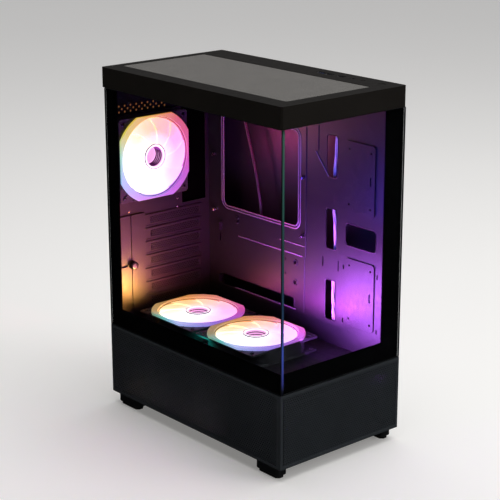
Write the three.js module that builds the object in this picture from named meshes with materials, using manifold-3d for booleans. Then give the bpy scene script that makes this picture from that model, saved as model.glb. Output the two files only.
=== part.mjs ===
// A mid-tower computer case with two panes of glass that meet at a bare corner, as a group of separate pieces.
// Millimetres, +Z up. The origin is the middle of the footprint, on the surface that the case stands on.
// -Y is the front, -X is the side with the large pane, and the motherboard tray stands near +X.
import * as THREE from "three";
import { mergeVertices } from "three/addons/utils/BufferGeometryUtils.js";
import Module from "manifold-3d";

const wasm = await Module();
wasm.setup();

// ---------------------------------------------------------------- driving dimensions

const caseWidth = 216;
const caseDepth = 371;
const caseHeight = 493;

const footHeight = 17;
const padHeight = 4;
const footLength = 44;
const footWidth = 18;
const footInset = 3; // from the side of the case
const footFrontInset = 9;
const footRearInset = 15;

const bezelHeight = 28;
const bezelWall = 2.5;
const bezelTop = 3;
const lowerPanelHeight = 103;
const lowerPanelThick = 3;
const rearOverhang = 5; // the bezel reaches this far past the rear wall

const steel = 1; // sheet thickness
const glassThick = 4;
const railThick = 1.5; // strips bonded behind the glass
const railHeight = 27;
const leftRailRear = 24;
const frontRailRight = 32;
const fit = 0.3; // gap between pieces that touch

const cableSpace = 31; // from the tray to the outside of the right panel
const returnDepth = 7; // folded edges of the right panel

const fanSize = 120;
const fanThick = 26;
const fanEarDrop = 4; // the corner ears lie this far below the light ring
const fanHoleSpacing = fanSize - 15;
const fanBore = fanSize / 2 - 3; // radius
const fanHub = 18; // radius
const fanTipGap = 1.5;
const fanBlades = 9;
const bladeAngle = 36;

const slotPitch = 20.32;
const slotCount = 7;
const slotHeight = slotPitch - 1.92;
const slotLeft = -50;
const slotRight = 62;

const ioShieldWidth = 44.45;
const ioShieldHeight = 158.75;
const ioShieldRight = 70.6;

const filterLeftMargin = 27.5; // from the left side of the bezel
const filterFrontMargin = 22.5;
const filterRearMargin = 12;
const filterWidth = 145;
const filterBorder = 7;
const filterThick = 3;
const filterLedge = 4;

const buttonTravel = 1.2;
const psuWidth = 150;
const psuHeight = 86;

// ---------------------------------------------------------------- places worked out from them

const left = -caseWidth / 2;
const right = caseWidth / 2;
const front = -caseDepth / 2;
const rear = caseDepth / 2 - rearOverhang; // outer face of the rear wall
const rearIn = rear - steel;
const bezelZ = caseHeight - bezelHeight;
const glassZ = footHeight + lowerPanelHeight; // bottom edge of the glass
const deckZ = glassZ - 2; // top of the shroud
const trayX = right - cableSpace;
const frameLeft = left + glassThick + fit + railThick + fit;
const frameFront = front + glassThick + fit + railThick + fit;
const frameRight = right - steel - fit - returnDepth;
const lowerLeft = left + lowerPanelThick + fit;
const lowerFront = front + lowerPanelThick + fit;
const pillarFront = frameFront;
const trayFront = pillarFront + steel + fit;
const wallRight = right - steel - 1; // right edge of the rear wall and the pillar
const topZ = bezelZ - fit; // upper face of the top frame
const fanBackY = rearIn - fit;

// The slots start above the deck, and the socket opening and the rear fan stand above them.
const slotTopZ = deckZ + 12.52 + (slotCount - 0.5) * slotPitch; // middle of the first slot
const ioShieldBottom = slotTopZ + 14.4;
const rearFan = { x: frameLeft + steel + fit + fanSize / 2, z: slotTopZ + slotPitch / 2 + 28.74 + fanSize / 2 };
const deckFanX = -15.5;
const deckFanRearY = 93.4;
const deckFans = { rear: deckFanRearY, front: deckFanRearY - fanSize - 6 };

const ioX = 88; // middle of the row of sockets and buttons
const boardZ = caseHeight - 18;
const boardThick = 1.6;

// ---------------------------------------------------------------- small helpers

// A closed three.js geometry as a solid that can be joined and cut.
function solidOf(geometry) {
  const bare = geometry.index ? geometry.toNonIndexed() : geometry.clone();
  bare.deleteAttribute("normal");
  bare.deleteAttribute("uv");
  const merged = mergeVertices(bare, 1e-4);
  return new wasm.Manifold(
    new wasm.Mesh({
      numProp: 3,
      vertProperties: merged.attributes.position.array,
      triVerts: new Uint32Array(merged.index.array),
    }),
  );
}

// The solid's surface as a three.js geometry.
function geometryOf(solid) {
  const mesh = solid.getMesh();
  const points = new Float32Array(mesh.numVert * 3);
  for (let i = 0; i < mesh.numVert; i++) {
    points.set(mesh.vertProperties.subarray(i * mesh.numProp, i * mesh.numProp + 3), i * 3);
  }
  const geometry = new THREE.BufferGeometry();
  geometry.setAttribute("position", new THREE.BufferAttribute(points, 3));
  geometry.setIndex(new THREE.BufferAttribute(new Uint32Array(mesh.triVerts), 1));
  geometry.computeVertexNormals();
  return geometry;
}

function box(x0, x1, y0, y1, z0, z1) {
  const geometry = new THREE.BoxGeometry(x1 - x0, y1 - y0, z1 - z0);
  geometry.translate((x0 + x1) / 2, (y0 + y1) / 2, (z0 + z1) / 2);
  return solidOf(geometry);
}

// A cylinder along "x", "y" or "z" that starts at (x, y, z).
function rod(axis, radius, length, x, y, z, sides = 16) {
  const geometry = new THREE.CylinderGeometry(radius, radius, length, sides);
  geometry.translate(0, length / 2, 0);
  if (axis === "x") geometry.rotateZ(-Math.PI / 2);
  if (axis === "z") geometry.rotateX(Math.PI / 2);
  geometry.translate(x, y, z);
  return solidOf(geometry);
}

function join(solids) {
  return solids.reduce((whole, next) => whole.add(next));
}

function cut(solid, tools) {
  return tools.reduce((rest, tool) => rest.subtract(tool), solid);
}

// A rectangle with rounded corners between two opposite corners, as a path for a shape or a hole. A small
// radius is one chamfer and a larger one has three facets to a corner.
function rectangle(a0, a1, b0, b1, radius = 0, Kind = THREE.Path) {
  const path = new Kind();
  if (radius <= 0) {
    path.setFromPoints([
      new THREE.Vector2(a0, b0),
      new THREE.Vector2(a1, b0),
      new THREE.Vector2(a1, b1),
      new THREE.Vector2(a0, b1),
    ]);
    path.closePath();
    return path;
  }
  const facets = radius > 4 ? 3 : 1;
  const centres = [
    [a1 - radius, b0 + radius],
    [a1 - radius, b1 - radius],
    [a0 + radius, b1 - radius],
    [a0 + radius, b0 + radius],
  ];
  const points = centres.flatMap(([a, b], corner) =>
    Array.from({ length: facets + 1 }, (_, i) => {
      const angle = (Math.PI / 2) * (corner - 1 + i / facets);
      return new THREE.Vector2(a + radius * Math.cos(angle), b + radius * Math.sin(angle));
    }),
  );
  path.setFromPoints(points);
  path.closePath();
  return path;
}

function circle(a, b, radius) {
  const path = new THREE.Path();
  path.absarc(a, b, radius, 0, 2 * Math.PI, false);
  return path;
}

// One arc-shaped slot of a ring grille.
function arcSlot(a, b, inner, outer, start, end) {
  const path = new THREE.Path();
  path.absarc(a, b, outer, start, end, false);
  path.absarc(a, b, inner, end, start, true);
  path.closePath();
  return path;
}

// A flat sheet cut to an outline with holes. Along "z" the outline is (x, y), along "x" it is (y, z)
// and along "y" it is (x, z). The sheet lies between low and high on its axis.
function sheet(axis, outline, holes, low, high, curveSegments = 3) {
  outline.holes.push(...holes);
  const geometry = new THREE.ExtrudeGeometry(outline, {
    depth: high - low,
    bevelEnabled: false,
    curveSegments,
  });
  const matrix = new THREE.Matrix4();
  if (axis === "x") {
    matrix.set(0, 0, 1, low, 1, 0, 0, 0, 0, 1, 0, 0, 0, 0, 0, 1);
  } else if (axis === "y") {
    matrix.set(1, 0, 0, 0, 0, 0, -1, high, 0, 1, 0, 0, 0, 0, 0, 1);
  } else {
    matrix.makeTranslation(0, 0, low);
  }
  return solidOf(geometry.applyMatrix4(matrix));
}

function plate(axis, a0, a1, b0, b1, low, high, holes = [], radius = 0, curveSegments = 3) {
  const outline = rectangle(a0, a1, b0, b1, radius, THREE.Shape);
  return sheet(axis, outline, holes, low, high, curveSegments);
}

// ---------------------------------------------------------------- materials

function finish(name, color, roughness, metalness, extra = {}) {
  return new THREE.MeshStandardMaterial({ name, color, roughness, metalness, ...extra });
}

const blackSteel = () => finish("black_painted_steel", 0x17171a, 0.5, 0.4);
const blackPlastic = () => finish("black_plastic", 0x1b1d20, 0.5, 0);
const clearGlass = () => finish("tempered_glass", 0xaab4b8, 0.03, 0, { transparent: true, opacity: 0.2 });
const meshCloth = () => finish("grey_filter_mesh", 0x74716d, 0.9, 0);
const lightRing = () => finish("milky_light_ring", 0xf4e6ee, 0.4, 0, { emissive: 0xd98ac8 });
const rubber = () => finish("black_rubber", 0x101010, 0.9, 0);
const screwSteel = () => finish("black_screw_steel", 0x2a2a2c, 0.35, 0.9);
const cableSheath = () => finish("black_cable", 0x121214, 0.6, 0);
const boardGreen = () => finish("circuit_board", 0x16301e, 0.5, 0);
const socketBlue = () => finish("blue_socket", 0x2f5fc0, 0.4, 0.2);
const socketSteel = () => finish("socket_steel", 0x8c8c90, 0.3, 0.9);

const tower = new THREE.Group();

function addPiece(name, solid, material, parent = tower) {
  const mesh = new THREE.Mesh(geometryOf(solid), material);
  mesh.name = name;
  parent.add(mesh);
  return mesh;
}

// ---------------------------------------------------------------- feet

function makeFeet() {
  const sides = { left: left + footInset, right: right - footInset - footWidth };
  const rows = { front: front + footFrontInset, rear: rear + rearOverhang - footRearInset - footLength };
  const padInset = 2;
  for (const [row, y] of Object.entries(rows)) {
    for (const [side, x] of Object.entries(sides)) {
      const body = plate("z", x, x + footWidth, y, y + footLength, padHeight, footHeight - fit, [], 5);
      const pad = plate(
        "z",
        x + padInset,
        x + footWidth - padInset,
        y + padInset,
        y + footLength - padInset,
        0,
        padHeight - fit,
        [],
        4,
      );
      addPiece(`foot_${row}_${side}`, body, blackPlastic());
      addPiece(`foot_pad_${row}_${side}`, pad, rubber());
    }
  }
}

// ---------------------------------------------------------------- base, with the rails of the supply's filter

const intake = { x0: -psuWidth / 2 + 5, x1: psuWidth / 2 - 5, y0: 40, y1: 160 };
const filterRun = { x0: intake.x0 - 6, x1: intake.x1 + 6, y0: intake.y0 - 6, y1: rear - 4 };
const runnerDrop = 5;

function makeBase() {
  const lip = 10;
  const x0 = lowerLeft;
  const x1 = frameRight;
  const y0 = lowerFront;
  const y1 = rearIn - fit;
  const z0 = footHeight;
  const z1 = z0 + steel;
  const opening = plate("z", intake.x0, intake.x1, intake.y0, intake.y1, z0 - 1, z1 + 1, [], 4);
  const hollow = box(x0 + steel, x1 - steel, y0 + steel, y1 + 1, z1, z0 + lip + 1);
  const pan = cut(box(x0, x1, y0, y1, z0, z0 + lip), [hollow, opening]);
  // Two runners under the floor, each an L that carries the filter's edge.
  const reach = 4;
  const runners = [-1, 1].map((side) => {
    const web = side < 0 ? filterRun.x0 - fit - steel : filterRun.x1 + fit + steel;
    const profile = new THREE.Shape();
    const top = z0 + steel / 2;
    const low = z0 - runnerDrop - steel;
    profile.moveTo(web, low);
    profile.lineTo(web, top);
    profile.lineTo(web - side * steel, top);
    profile.lineTo(web - side * steel, low + steel);
    profile.lineTo(web - side * reach, low + steel);
    profile.lineTo(web - side * reach, low);
    profile.closePath();
    return sheet("y", profile, [], filterRun.y0, filterRun.y1);
  });
  addPiece("base_pan", join([pan, ...runners]), blackSteel());
}

function makeSupplyFilter() {
  const thick = runnerDrop - 2 * fit;
  const z0 = footHeight - runnerDrop + fit;
  const rim = 5;
  const tab = 3;
  const frame = plate("z", filterRun.x0, filterRun.x1, filterRun.y0, filterRun.y1, z0, z0 + thick, [
    rectangle(filterRun.x0 + rim, filterRun.x1 - rim, filterRun.y0 + rim, filterRun.y1 - rim, 3),
  ]);
  const gauze = box(
    filterRun.x0 + rim - 1,
    filterRun.x1 - rim + 1,
    filterRun.y0 + rim - 1,
    filterRun.y1 - rim + 1,
    z0 + 1,
    z0 + 1.8,
  );
  const grip = box(-20, 20, filterRun.y1 - 1, filterRun.y1 + tab, z0, z0 + thick);
  addPiece("supply_filter", join([frame, gauze, grip]), blackPlastic());
}

// ---------------------------------------------------------------- rear wall and its slot covers

const slotMiddle = (i) => slotTopZ - i * slotPitch;
const slotFieldTop = slotMiddle(0) + slotPitch / 2;
const slotFieldBottom = slotMiddle(slotCount - 1) - slotPitch / 2;
const supply = {
  x0: -psuWidth / 2 - 3,
  x1: psuWidth / 2 - 3,
  z0: footHeight + 4,
  z1: footHeight + 4 + psuHeight,
};
const thumbscrewZ = [footHeight + 40, bezelZ - 40];
const panelScrewX = right - steel - 7;
const glassStudZ = [glassZ + 45, rearFan.z + fanSize / 2 - 1.5]; // the upper one passes the fan's corner
const studRadius = 3;
const studHoleRadius = studRadius * 1.4; // six-sided holes, wider than the stud across their flats
const railStudY = rear - 10; // middle of the studs on the left pane's rear strip
const retainer = {
  x0: -93,
  x1: -44,
  z0: slotFieldBottom - 3,
  z1: slotFieldTop + 3,
  screwX: -69,
  screwZ: 202,
};
const smallHole = 1.9;
const ventRows = 3;
const ventPitch = { x: 10, z: 4.2 };
const ventRadius = 1.7;
const ventLeft = -83;

function ringGrille(x, z) {
  const rings = 4;
  const spokes = 4;
  const innermost = 16;
  const band = (fanBore - 3 - innermost) / rings;
  const rib = 2.4;
  const slots = [];
  for (let ring = 0; ring < rings; ring++) {
    const inner = innermost + ring * band;
    const outer = inner + band - rib;
    for (let spoke = 0; spoke < spokes; spoke++) {
      const middle = Math.PI / 4 + (spoke * 2 * Math.PI) / spokes;
      const half = Math.PI / spokes - 2.5 / inner;
      slots.push(arcSlot(x, z, inner, outer, middle - half, middle + half));
    }
  }
  return slots;
}

function fanScrewHoles(a, b) {
  const h = fanHoleSpacing / 2;
  const corners = [
    [-h, -h],
    [h, -h],
    [h, h],
    [-h, h],
  ];
  return corners.map(([da, db]) => circle(a + da, b + db, smallHole));
}

function makeRearWall() {
  const bottom = footHeight + steel + fit;
  const top = topZ - steel - fit;
  const slotHoles = [];
  for (let i = 0; i < slotCount; i++) {
    const z = slotMiddle(i);
    slotHoles.push(rectangle(slotLeft + 14, slotRight - 6, z - 6.5, z + 6.5));
  }
  const ioHole = rectangle(
    ioShieldRight - ioShieldWidth,
    ioShieldRight,
    ioShieldBottom,
    Math.min(ioShieldBottom + ioShieldHeight, top - 8),
  );
  const holes = [
    ...slotHoles,
    ioHole,
    rectangle(supply.x0, supply.x1, supply.z0, supply.z1),
    ...ringGrille(rearFan.x, rearFan.z),
    ...fanScrewHoles(rearFan.x, rearFan.z),
    circle(retainer.screwX, retainer.screwZ, 2.3),
    ...thumbscrewZ.map((z) => circle(panelScrewX, z, 2.3)),
  ];
  // Three staggered rows of round vents above the fan.
  for (let row = 0; row < ventRows; row++) {
    const z = rearFan.z + fanSize / 2 + 5 + row * ventPitch.z;
    if (z > top - 2 * ventRadius) break;
    const stagger = row % 2 ? ventPitch.x / 2 : 0;
    for (let x = ventLeft; x <= ventLeft + 80; x += ventPitch.x) holes.push(circle(x + stagger, z, ventRadius));
  }
  const wall = plate("y", frameLeft, wallRight, bottom, top, rearIn, rear, holes);
  // A flange that points forward, with holes for the studs of the left pane.
  const flangeDepth = 20;
  const studHoles = glassStudZ.map((z) => circle(railStudY, z, studHoleRadius));
  const flange = plate(
    "x",
    rear - flangeDepth,
    rear,
    glassZ,
    top,
    frameLeft,
    frameLeft + steel,
    studHoles,
  );
  addPiece("rear_panel", wall.add(flange), blackSteel());
}

function makeSlotCovers() {
  const y1 = rearIn - fit;
  for (let i = 0; i < slotCount; i++) {
    const z = slotMiddle(i);
    const vents = [];
    for (let x = -30; x <= 45; x += 15) vents.push(rectangle(x, x + 9, z - 3.5, z + 3.5, 3));
    const cover = plate(
      "y",
      slotLeft,
      slotRight,
      z - slotHeight / 2,
      z + slotHeight / 2,
      y1 - steel,
      y1,
      vents,
      0,
      2,
    );
    addPiece(`slot_cover_${i + 1}`, cover, blackSteel());
  }
}

function makeRetainer() {
  const y1 = rearIn - fit - steel - fit;
  const y0 = y1 - 1.2;
  const { x0, screwZ } = retainer;
  const keyhole = rectangle(x0 + 3, x0 + 17, screwZ - 2.5, screwZ + 2.5, 2);
  const holes = [keyhole, circle(retainer.screwX, retainer.screwZ, 2.3)];
  const strip = plate("y", retainer.x0, retainer.x1, retainer.z0, retainer.z1, y0, y1, holes, 3);
  addPiece("slot_retainer", strip, blackSteel());
  const head = rod("y", 6, 8, retainer.screwX, y0 - fit - 8, retainer.screwZ, 20);
  const shank = rod("y", 1.8, 10, retainer.screwX, y0 - fit - 1, retainer.screwZ, 12);
  addPiece("retainer_thumbscrew", head.add(shank), screwSteel());
}

// ---------------------------------------------------------------- motherboard tray

// Openings in the tray as [y from, y to, z from, z to, corner radius].
const cpuOpening = [-14, 144.5, 273, 409, 9];
const cableSlots = [
  [-91, -70.5, 356.5, 414, 3],
  [-91, -70.5, 255.5, 312, 3],
  [-91, -70.5, 153, 210.5, 3],
];
const middleOpening = [-166, -109, 268, 298.5, 4];
const deckOpening = [-7, 151, 149.5, 166, 3];
const tieSlots = [
  [-66, -64, 227, 241.5, 0.8],
  [-96.5, -94.5, 226.5, 241.5, 0.8],
  [-107, -104.5, 232.5, 239, 0.8],
  [-171, -168.5, 232.5, 239.5, 0.8],
  [-107, -104.5, 156, 162.5, 0.8],
  [-171.5, -169, 155.5, 162, 0.8],
  [152.5, 155.5, 215, 228, 1],
  [151.5, 154.5, 122.5, 133.5, 1],
];
const standoffHoles = [
  [-9, 219.5, 4],
  [-9, 190, 4],
  [11.5, 220, 1.8],
  [11.5, 199, 1.8],
];
const drivePlates = {
  upper: [trayFront + 15.1, trayFront + 70.1, 315.5, 412.5],
  lower: [trayFront + 13.1, trayFront + 67.1, 155.5, 251],
};

function makeTray() {
  const openings = [cpuOpening, ...cableSlots, middleOpening, deckOpening, ...tieSlots];
  const holes = openings.map(([y0, y1, z0, z1, r]) => rectangle(y0, y1, z0, z1, r));
  for (const [y, z, r] of standoffHoles) holes.push(circle(y, z, r));
  for (const [y0, y1, z0, z1] of Object.values(drivePlates)) {
    // Four small screw holes under each drive plate.
    const y = (y0 + y1) / 2;
    const z = (z0 + z1) / 2;
    for (const dy of [-20, 20]) {
      for (const dz of [-38, 38]) holes.push(circle(y + dy, z + dz, 1.6));
    }
  }
  const z0 = deckZ + fit;
  const z1 = topZ - steel - fit;
  const tray = plate("x", trayFront, rearIn - fit, z0, z1, trayX, trayX + steel, holes);
  addPiece("motherboard_tray", tray, blackSteel());
}

function makeDrivePlates() {
  for (const [name, [y0, y1, z0, z1]] of Object.entries(drivePlates)) {
    const x1 = trayX - fit;
    const x0 = x1 - 1.2;
    const y = (y0 + y1) / 2;
    const z = (z0 + z1) / 2;
    const holes = [];
    for (const dy of [-20, 20]) {
      for (const dz of [-38, 38]) holes.push(circle(y + dy, z + dz, 1.6));
    }
    holes.push(rectangle(y0 + 6, y0 + 9, z - 6, z + 6, 1));
    addPiece(`drive_plate_${name}`, plate("x", y0, y1, z0, z1, x0, x1, holes, 3), blackSteel());
  }
}

// ---------------------------------------------------------------- top frame, shroud, pillar and post

const filter = {
  x0: left + filterLeftMargin,
  x1: left + filterLeftMargin + filterWidth,
  y0: front + filterFrontMargin,
  y1: caseDepth / 2 - filterRearMargin,
};
const airway = {
  x0: filter.x0 + filterLedge,
  x1: filter.x1 - filterLedge,
  y0: filter.y0 + filterLedge,
  y1: Math.min(filter.y1 - filterLedge, rearIn - 12),
};
const cableHole = { y: -80, x: ioX, radius: 7 };

function makeTopFrame() {
  const bridge = 14;
  const middle = (airway.y0 + airway.y1) / 2;
  const holes = [
    rectangle(airway.x0, airway.x1, airway.y0, middle - bridge / 2, 5),
    rectangle(airway.x0, airway.x1, middle + bridge / 2, airway.y1, 5),
    circle(cableHole.x, cableHole.y, cableHole.radius),
  ];
  const panel = plate("z", frameLeft, frameRight, frameFront, rear, topZ - steel, topZ, holes);
  addPiece("top_frame", panel, blackSteel());
}

function makeShroud() {
  const holes = [];
  for (const y of Object.values(deckFans)) {
    holes.push(circle(deckFanX, y, fanBore), ...fanScrewHoles(deckFanX, y));
  }
  const x1 = trayX + steel;
  const deck = plate("z", frameLeft, x1, frameFront, rearIn - fit, deckZ - steel, deckZ, holes, 0, 8);
  const flange = 17;
  const leftEdge = box(frameLeft, frameLeft + steel, frameFront, rearIn - fit, deckZ - flange, deckZ);
  const frontEdge = box(frameLeft, x1, frameFront, frameFront + steel, deckZ - flange, deckZ);
  addPiece("supply_shroud", join([deck, leftEdge, frontEdge]), blackSteel());
}

const pillarStudX = right - frontRailRight / 2;

function makePillar() {
  const z0 = footHeight + 12;
  const z1 = topZ - steel - fit;
  const x0 = trayX + steel + fit;
  const studs = glassStudZ.map((z) => circle(pillarStudX, z, studHoleRadius));
  const web = plate("y", x0, wallRight, z0, z1, pillarFront, pillarFront + steel, studs);
  const fold = 14;
  const inner = box(x0, x0 + steel, pillarFront, pillarFront + fold, z0, z1);
  addPiece("front_pillar", web.add(inner), blackSteel());
}

function makePost() {
  const z0 = footHeight + steel + fit;
  const z1 = deckZ - 17 - fit;
  const x0 = frameLeft;
  const y0 = frameFront;
  const leg = 16;
  const post = box(x0, x0 + leg, y0, y0 + steel, z0, z1).add(box(x0, x0 + steel, y0, y0 + leg, z0, z1));
  addPiece("front_post", post, blackSteel());
}

// ---------------------------------------------------------------- lower panels

function makeLowerPanels() {
  const z1 = glassZ - fit;
  const thick = lowerPanelThick;
  addPiece("front_mesh_panel", box(left, right, front, front + thick, footHeight, z1), blackSteel());
  addPiece("left_mesh_panel", box(left, left + thick, front + thick + fit, rear, footHeight, z1), blackSteel());
}

// ---------------------------------------------------------------- glass panes and the strips bonded behind them

function makeLeftGlass(parent) {
  const z1 = bezelZ - fit;
  const pane = box(left, left + glassThick, front, rear, glassZ, z1);
  addPiece("left_glass", pane, clearGlass(), parent);
  const x0 = left + glassThick + fit;
  const x1 = x0 + railThick;
  const start = front + glassThick + fit + railThick + fit;
  const bottom = box(x0, x1, start, rear, glassZ, glassZ + railHeight);
  const upright = box(x0, x1, rear - leftRailRear, rear, glassZ, z1);
  const studs = glassStudZ.map((z) => rod("x", studRadius, 7, x0 + 0.5, railStudY, z, 12));
  addPiece("left_glass_strip", join([bottom, upright, ...studs]), blackPlastic(), parent);
}

function makeFrontGlass(parent) {
  const z1 = bezelZ - fit;
  const x0 = left + glassThick + fit;
  addPiece("front_glass", box(x0, right, front, front + glassThick, glassZ, z1), clearGlass(), parent);
  const y0 = front + glassThick + fit;
  const y1 = y0 + railThick;
  const x1 = frameRight - fit; // clear of the right panel's edge
  const bottom = box(x0, x1, y0, y1, glassZ, glassZ + railHeight);
  const upright = box(right - frontRailRight, x1, y0, y1, glassZ, z1);
  const studs = glassStudZ.map((z) => rod("y", studRadius, 6, pillarStudX, y0 + 0.5, z, 12));
  addPiece("front_glass_strip", join([bottom, upright, ...studs]), blackPlastic(), parent);
}

// ---------------------------------------------------------------- right panel

function makeRightPanel(parent) {
  const z0 = footHeight + fit;
  const z1 = bezelZ - fit;
  const x0 = right - steel;
  const y0 = front + glassThick + fit + railThick + fit;
  const rearFold = rear + fit;
  const holes = thumbscrewZ.map((z) => circle(panelScrewX, z, 2.3));
  const skin = box(x0, right, y0, rearFold + steel, z0, z1);
  const foldLeft = panelScrewX - 8;
  const back = plate("y", foldLeft, right, z0, z1, rearFold, rearFold + steel, holes);
  const returns = [
    box(right - steel - returnDepth, right, y0, rear - 3, z1 - steel, z1),
    box(right - steel - returnDepth, right, y0, rear - 3, z0, z0 + steel),
  ];
  addPiece("right_panel", join([skin, back, ...returns]), blackSteel(), parent);
  thumbscrewZ.forEach((z, i) => {
    const y = rearFold + steel + fit;
    const head = rod("y", 5.5, caseDepth / 2 - y, panelScrewX, y, z, 20);
    const shank = rod("y", 1.8, 9, panelScrewX, y - 8, z, 12);
    addPiece(`panel_thumbscrew_${i ? "upper" : "lower"}`, head.add(shank), screwSteel(), parent);
  });
}

// ---------------------------------------------------------------- top bezel, its sockets and its filter

const sockets = {
  usb_3_socket: -47,
  usb_socket_1: -62,
  usb_socket_2: -85,
};
const jackY = -107;
const buttons = { power_button: { y: -160, radius: 5 }, light_button: { y: -126, radius: 3 } };
const buttonGap = 0.4;
const socketSize = { x: 6.6, y: 13.4 };

function makeBezel() {
  const z1 = caseHeight;
  const half = { x: socketSize.x / 2 + fit, y: socketSize.y / 2 + fit };
  const holes = [rectangle(filter.x0 - fit, filter.x1 + fit, filter.y0 - fit, filter.y1 + fit, 2)];
  for (const y of Object.values(sockets)) {
    holes.push(rectangle(ioX - half.x, ioX + half.x, y - half.y, y + half.y));
  }
  holes.push(circle(ioX, jackY, 3.6));
  for (const { y, radius } of Object.values(buttons)) holes.push(circle(ioX, y, radius + buttonGap));
  const back = caseDepth / 2;
  const top = plate("z", left, right, front, back, z1 - bezelTop, z1, holes, 2, 4);
  const wall = bezelWall;
  const inside = rectangle(left + wall, right - wall, front + wall, back - wall);
  const skirt = plate("z", left, right, front, back, bezelZ, z1 - bezelTop / 2, [inside], 2, 4);
  // A ledge that the filter lies on, hung from the top by a short wall.
  const ledgeTop = z1 - 0.5 - filterThick - fit;
  const ledgeBottom = ledgeTop - 2;
  const mouth = rectangle(airway.x0, airway.x1, airway.y0, filter.y1 - filterLedge, 2);
  const hang = rectangle(filter.x0 - fit, filter.x1 + fit, filter.y0 - fit, filter.y1 + fit, 2);
  const out = 2.3;
  const around = [filter.x0 - out, filter.x1 + out, filter.y0 - out, filter.y1 + out];
  const ledge = plate("z", ...around, ledgeBottom, ledgeTop, [mouth], 2);
  const hanger = plate("z", ...around, ledgeBottom + 0.5, z1 - 1, [hang], 2);
  addPiece("top_bezel", join([top, skirt, ledge, hanger]), blackPlastic());
}

function makeTopFilter(parent) {
  const z1 = caseHeight - 0.5;
  const z0 = z1 - filterThick;
  const b = filterBorder;
  const window = rectangle(filter.x0 + b, filter.x1 - b, filter.y0 + b, filter.y1 - b, 2);
  const frame = plate("z", filter.x0, filter.x1, filter.y0, filter.y1, z0, z1 - 1.2, [window], 2);
  const mesh = plate("z", filter.x0, filter.x1, filter.y0, filter.y1, z1 - 1.2 + fit, z1, [], 2);
  addPiece("top_filter_frame", frame, rubber(), parent);
  addPiece("top_filter_mesh", mesh, meshCloth(), parent);
}

function makeSocketBoard() {
  const y0 = buttons.power_button.y - 12;
  const y1 = sockets.usb_3_socket + 14;
  const halfBoard = 11;
  const board = box(ioX - halfBoard, ioX + halfBoard, y0, y1, boardZ, boardZ + boardThick);
  const parts = [board];
  for (const { y } of Object.values(buttons)) {
    // The tactile switch under each button, with its plunger short of the cap by the travel.
    parts.push(box(ioX - 3, ioX + 3, y - 3, y + 3, boardZ + 1, boardZ + 6));
  }
  // Two posts that hang the board from the bezel's top plate.
  const under = caseHeight - bezelTop - fit;
  for (const y of [y0 + 3, y1 - 3]) parts.push(rod("z", 2, under - boardZ - 1, ioX + 8, y, boardZ + 1, 10));
  addPiece("socket_board", join(parts), boardGreen());
}

function makeSockets() {
  const z0 = boardZ + boardThick + fit;
  const z1 = caseHeight - 0.6;
  const wall = 0.8;
  const depth = 12;
  for (const [name, y] of Object.entries(sockets)) {
    const hx = socketSize.x / 2;
    const hy = socketSize.y / 2;
    const shell = box(ioX - hx, ioX + hx, y - hy, y + hy, z0, z1);
    const mouth = box(ioX - hx + wall, ioX + hx - wall, y - hy + wall, y + hy - wall, z1 - depth, z1 + 1);
    addPiece(name, shell.subtract(mouth), name === "usb_3_socket" ? socketBlue() : socketSteel());
  }
  const barrel = rod("z", 3.2, z1 - z0, ioX, jackY, z0, 20);
  const bore = rod("z", 1.8, 12, ioX, jackY, z1 - 11, 16);
  addPiece("audio_jack", barrel.subtract(bore), blackPlastic());
}

function makeButton(name, parent) {
  const { y, radius } = buttons[name];
  const z1 = caseHeight - 0.3;
  const stemBottom = boardZ + 6 + buttonTravel + 0.4;
  const cap = rod("z", radius, 4, ioX, y, z1 - 4, 24);
  const flange = rod("z", radius + 1.5, 1.4, ioX, y, z1 - bezelTop - fit - 1.4, 24);
  const stem = rod("z", 2, z1 - 3 - stemBottom, ioX, y, stemBottom, 12);
  addPiece(name, join([cap, flange, stem]), blackPlastic(), parent);
}

// ---------------------------------------------------------------- fans

// The outline of the light ring: a square with its corners cut off, as an octagon with two lengths of side.
function ringOutline(half, corner, Kind) {
  const path = new Kind();
  const points = [
    [half, -corner],
    [half, corner],
    [corner, half],
    [-corner, half],
    [-half, corner],
    [-half, -corner],
    [-corner, -half],
    [corner, -half],
  ];
  points.forEach(([x, y], i) => (i ? path.lineTo(x, y) : path.moveTo(x, y)));
  path.closePath();
  return path;
}

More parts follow.
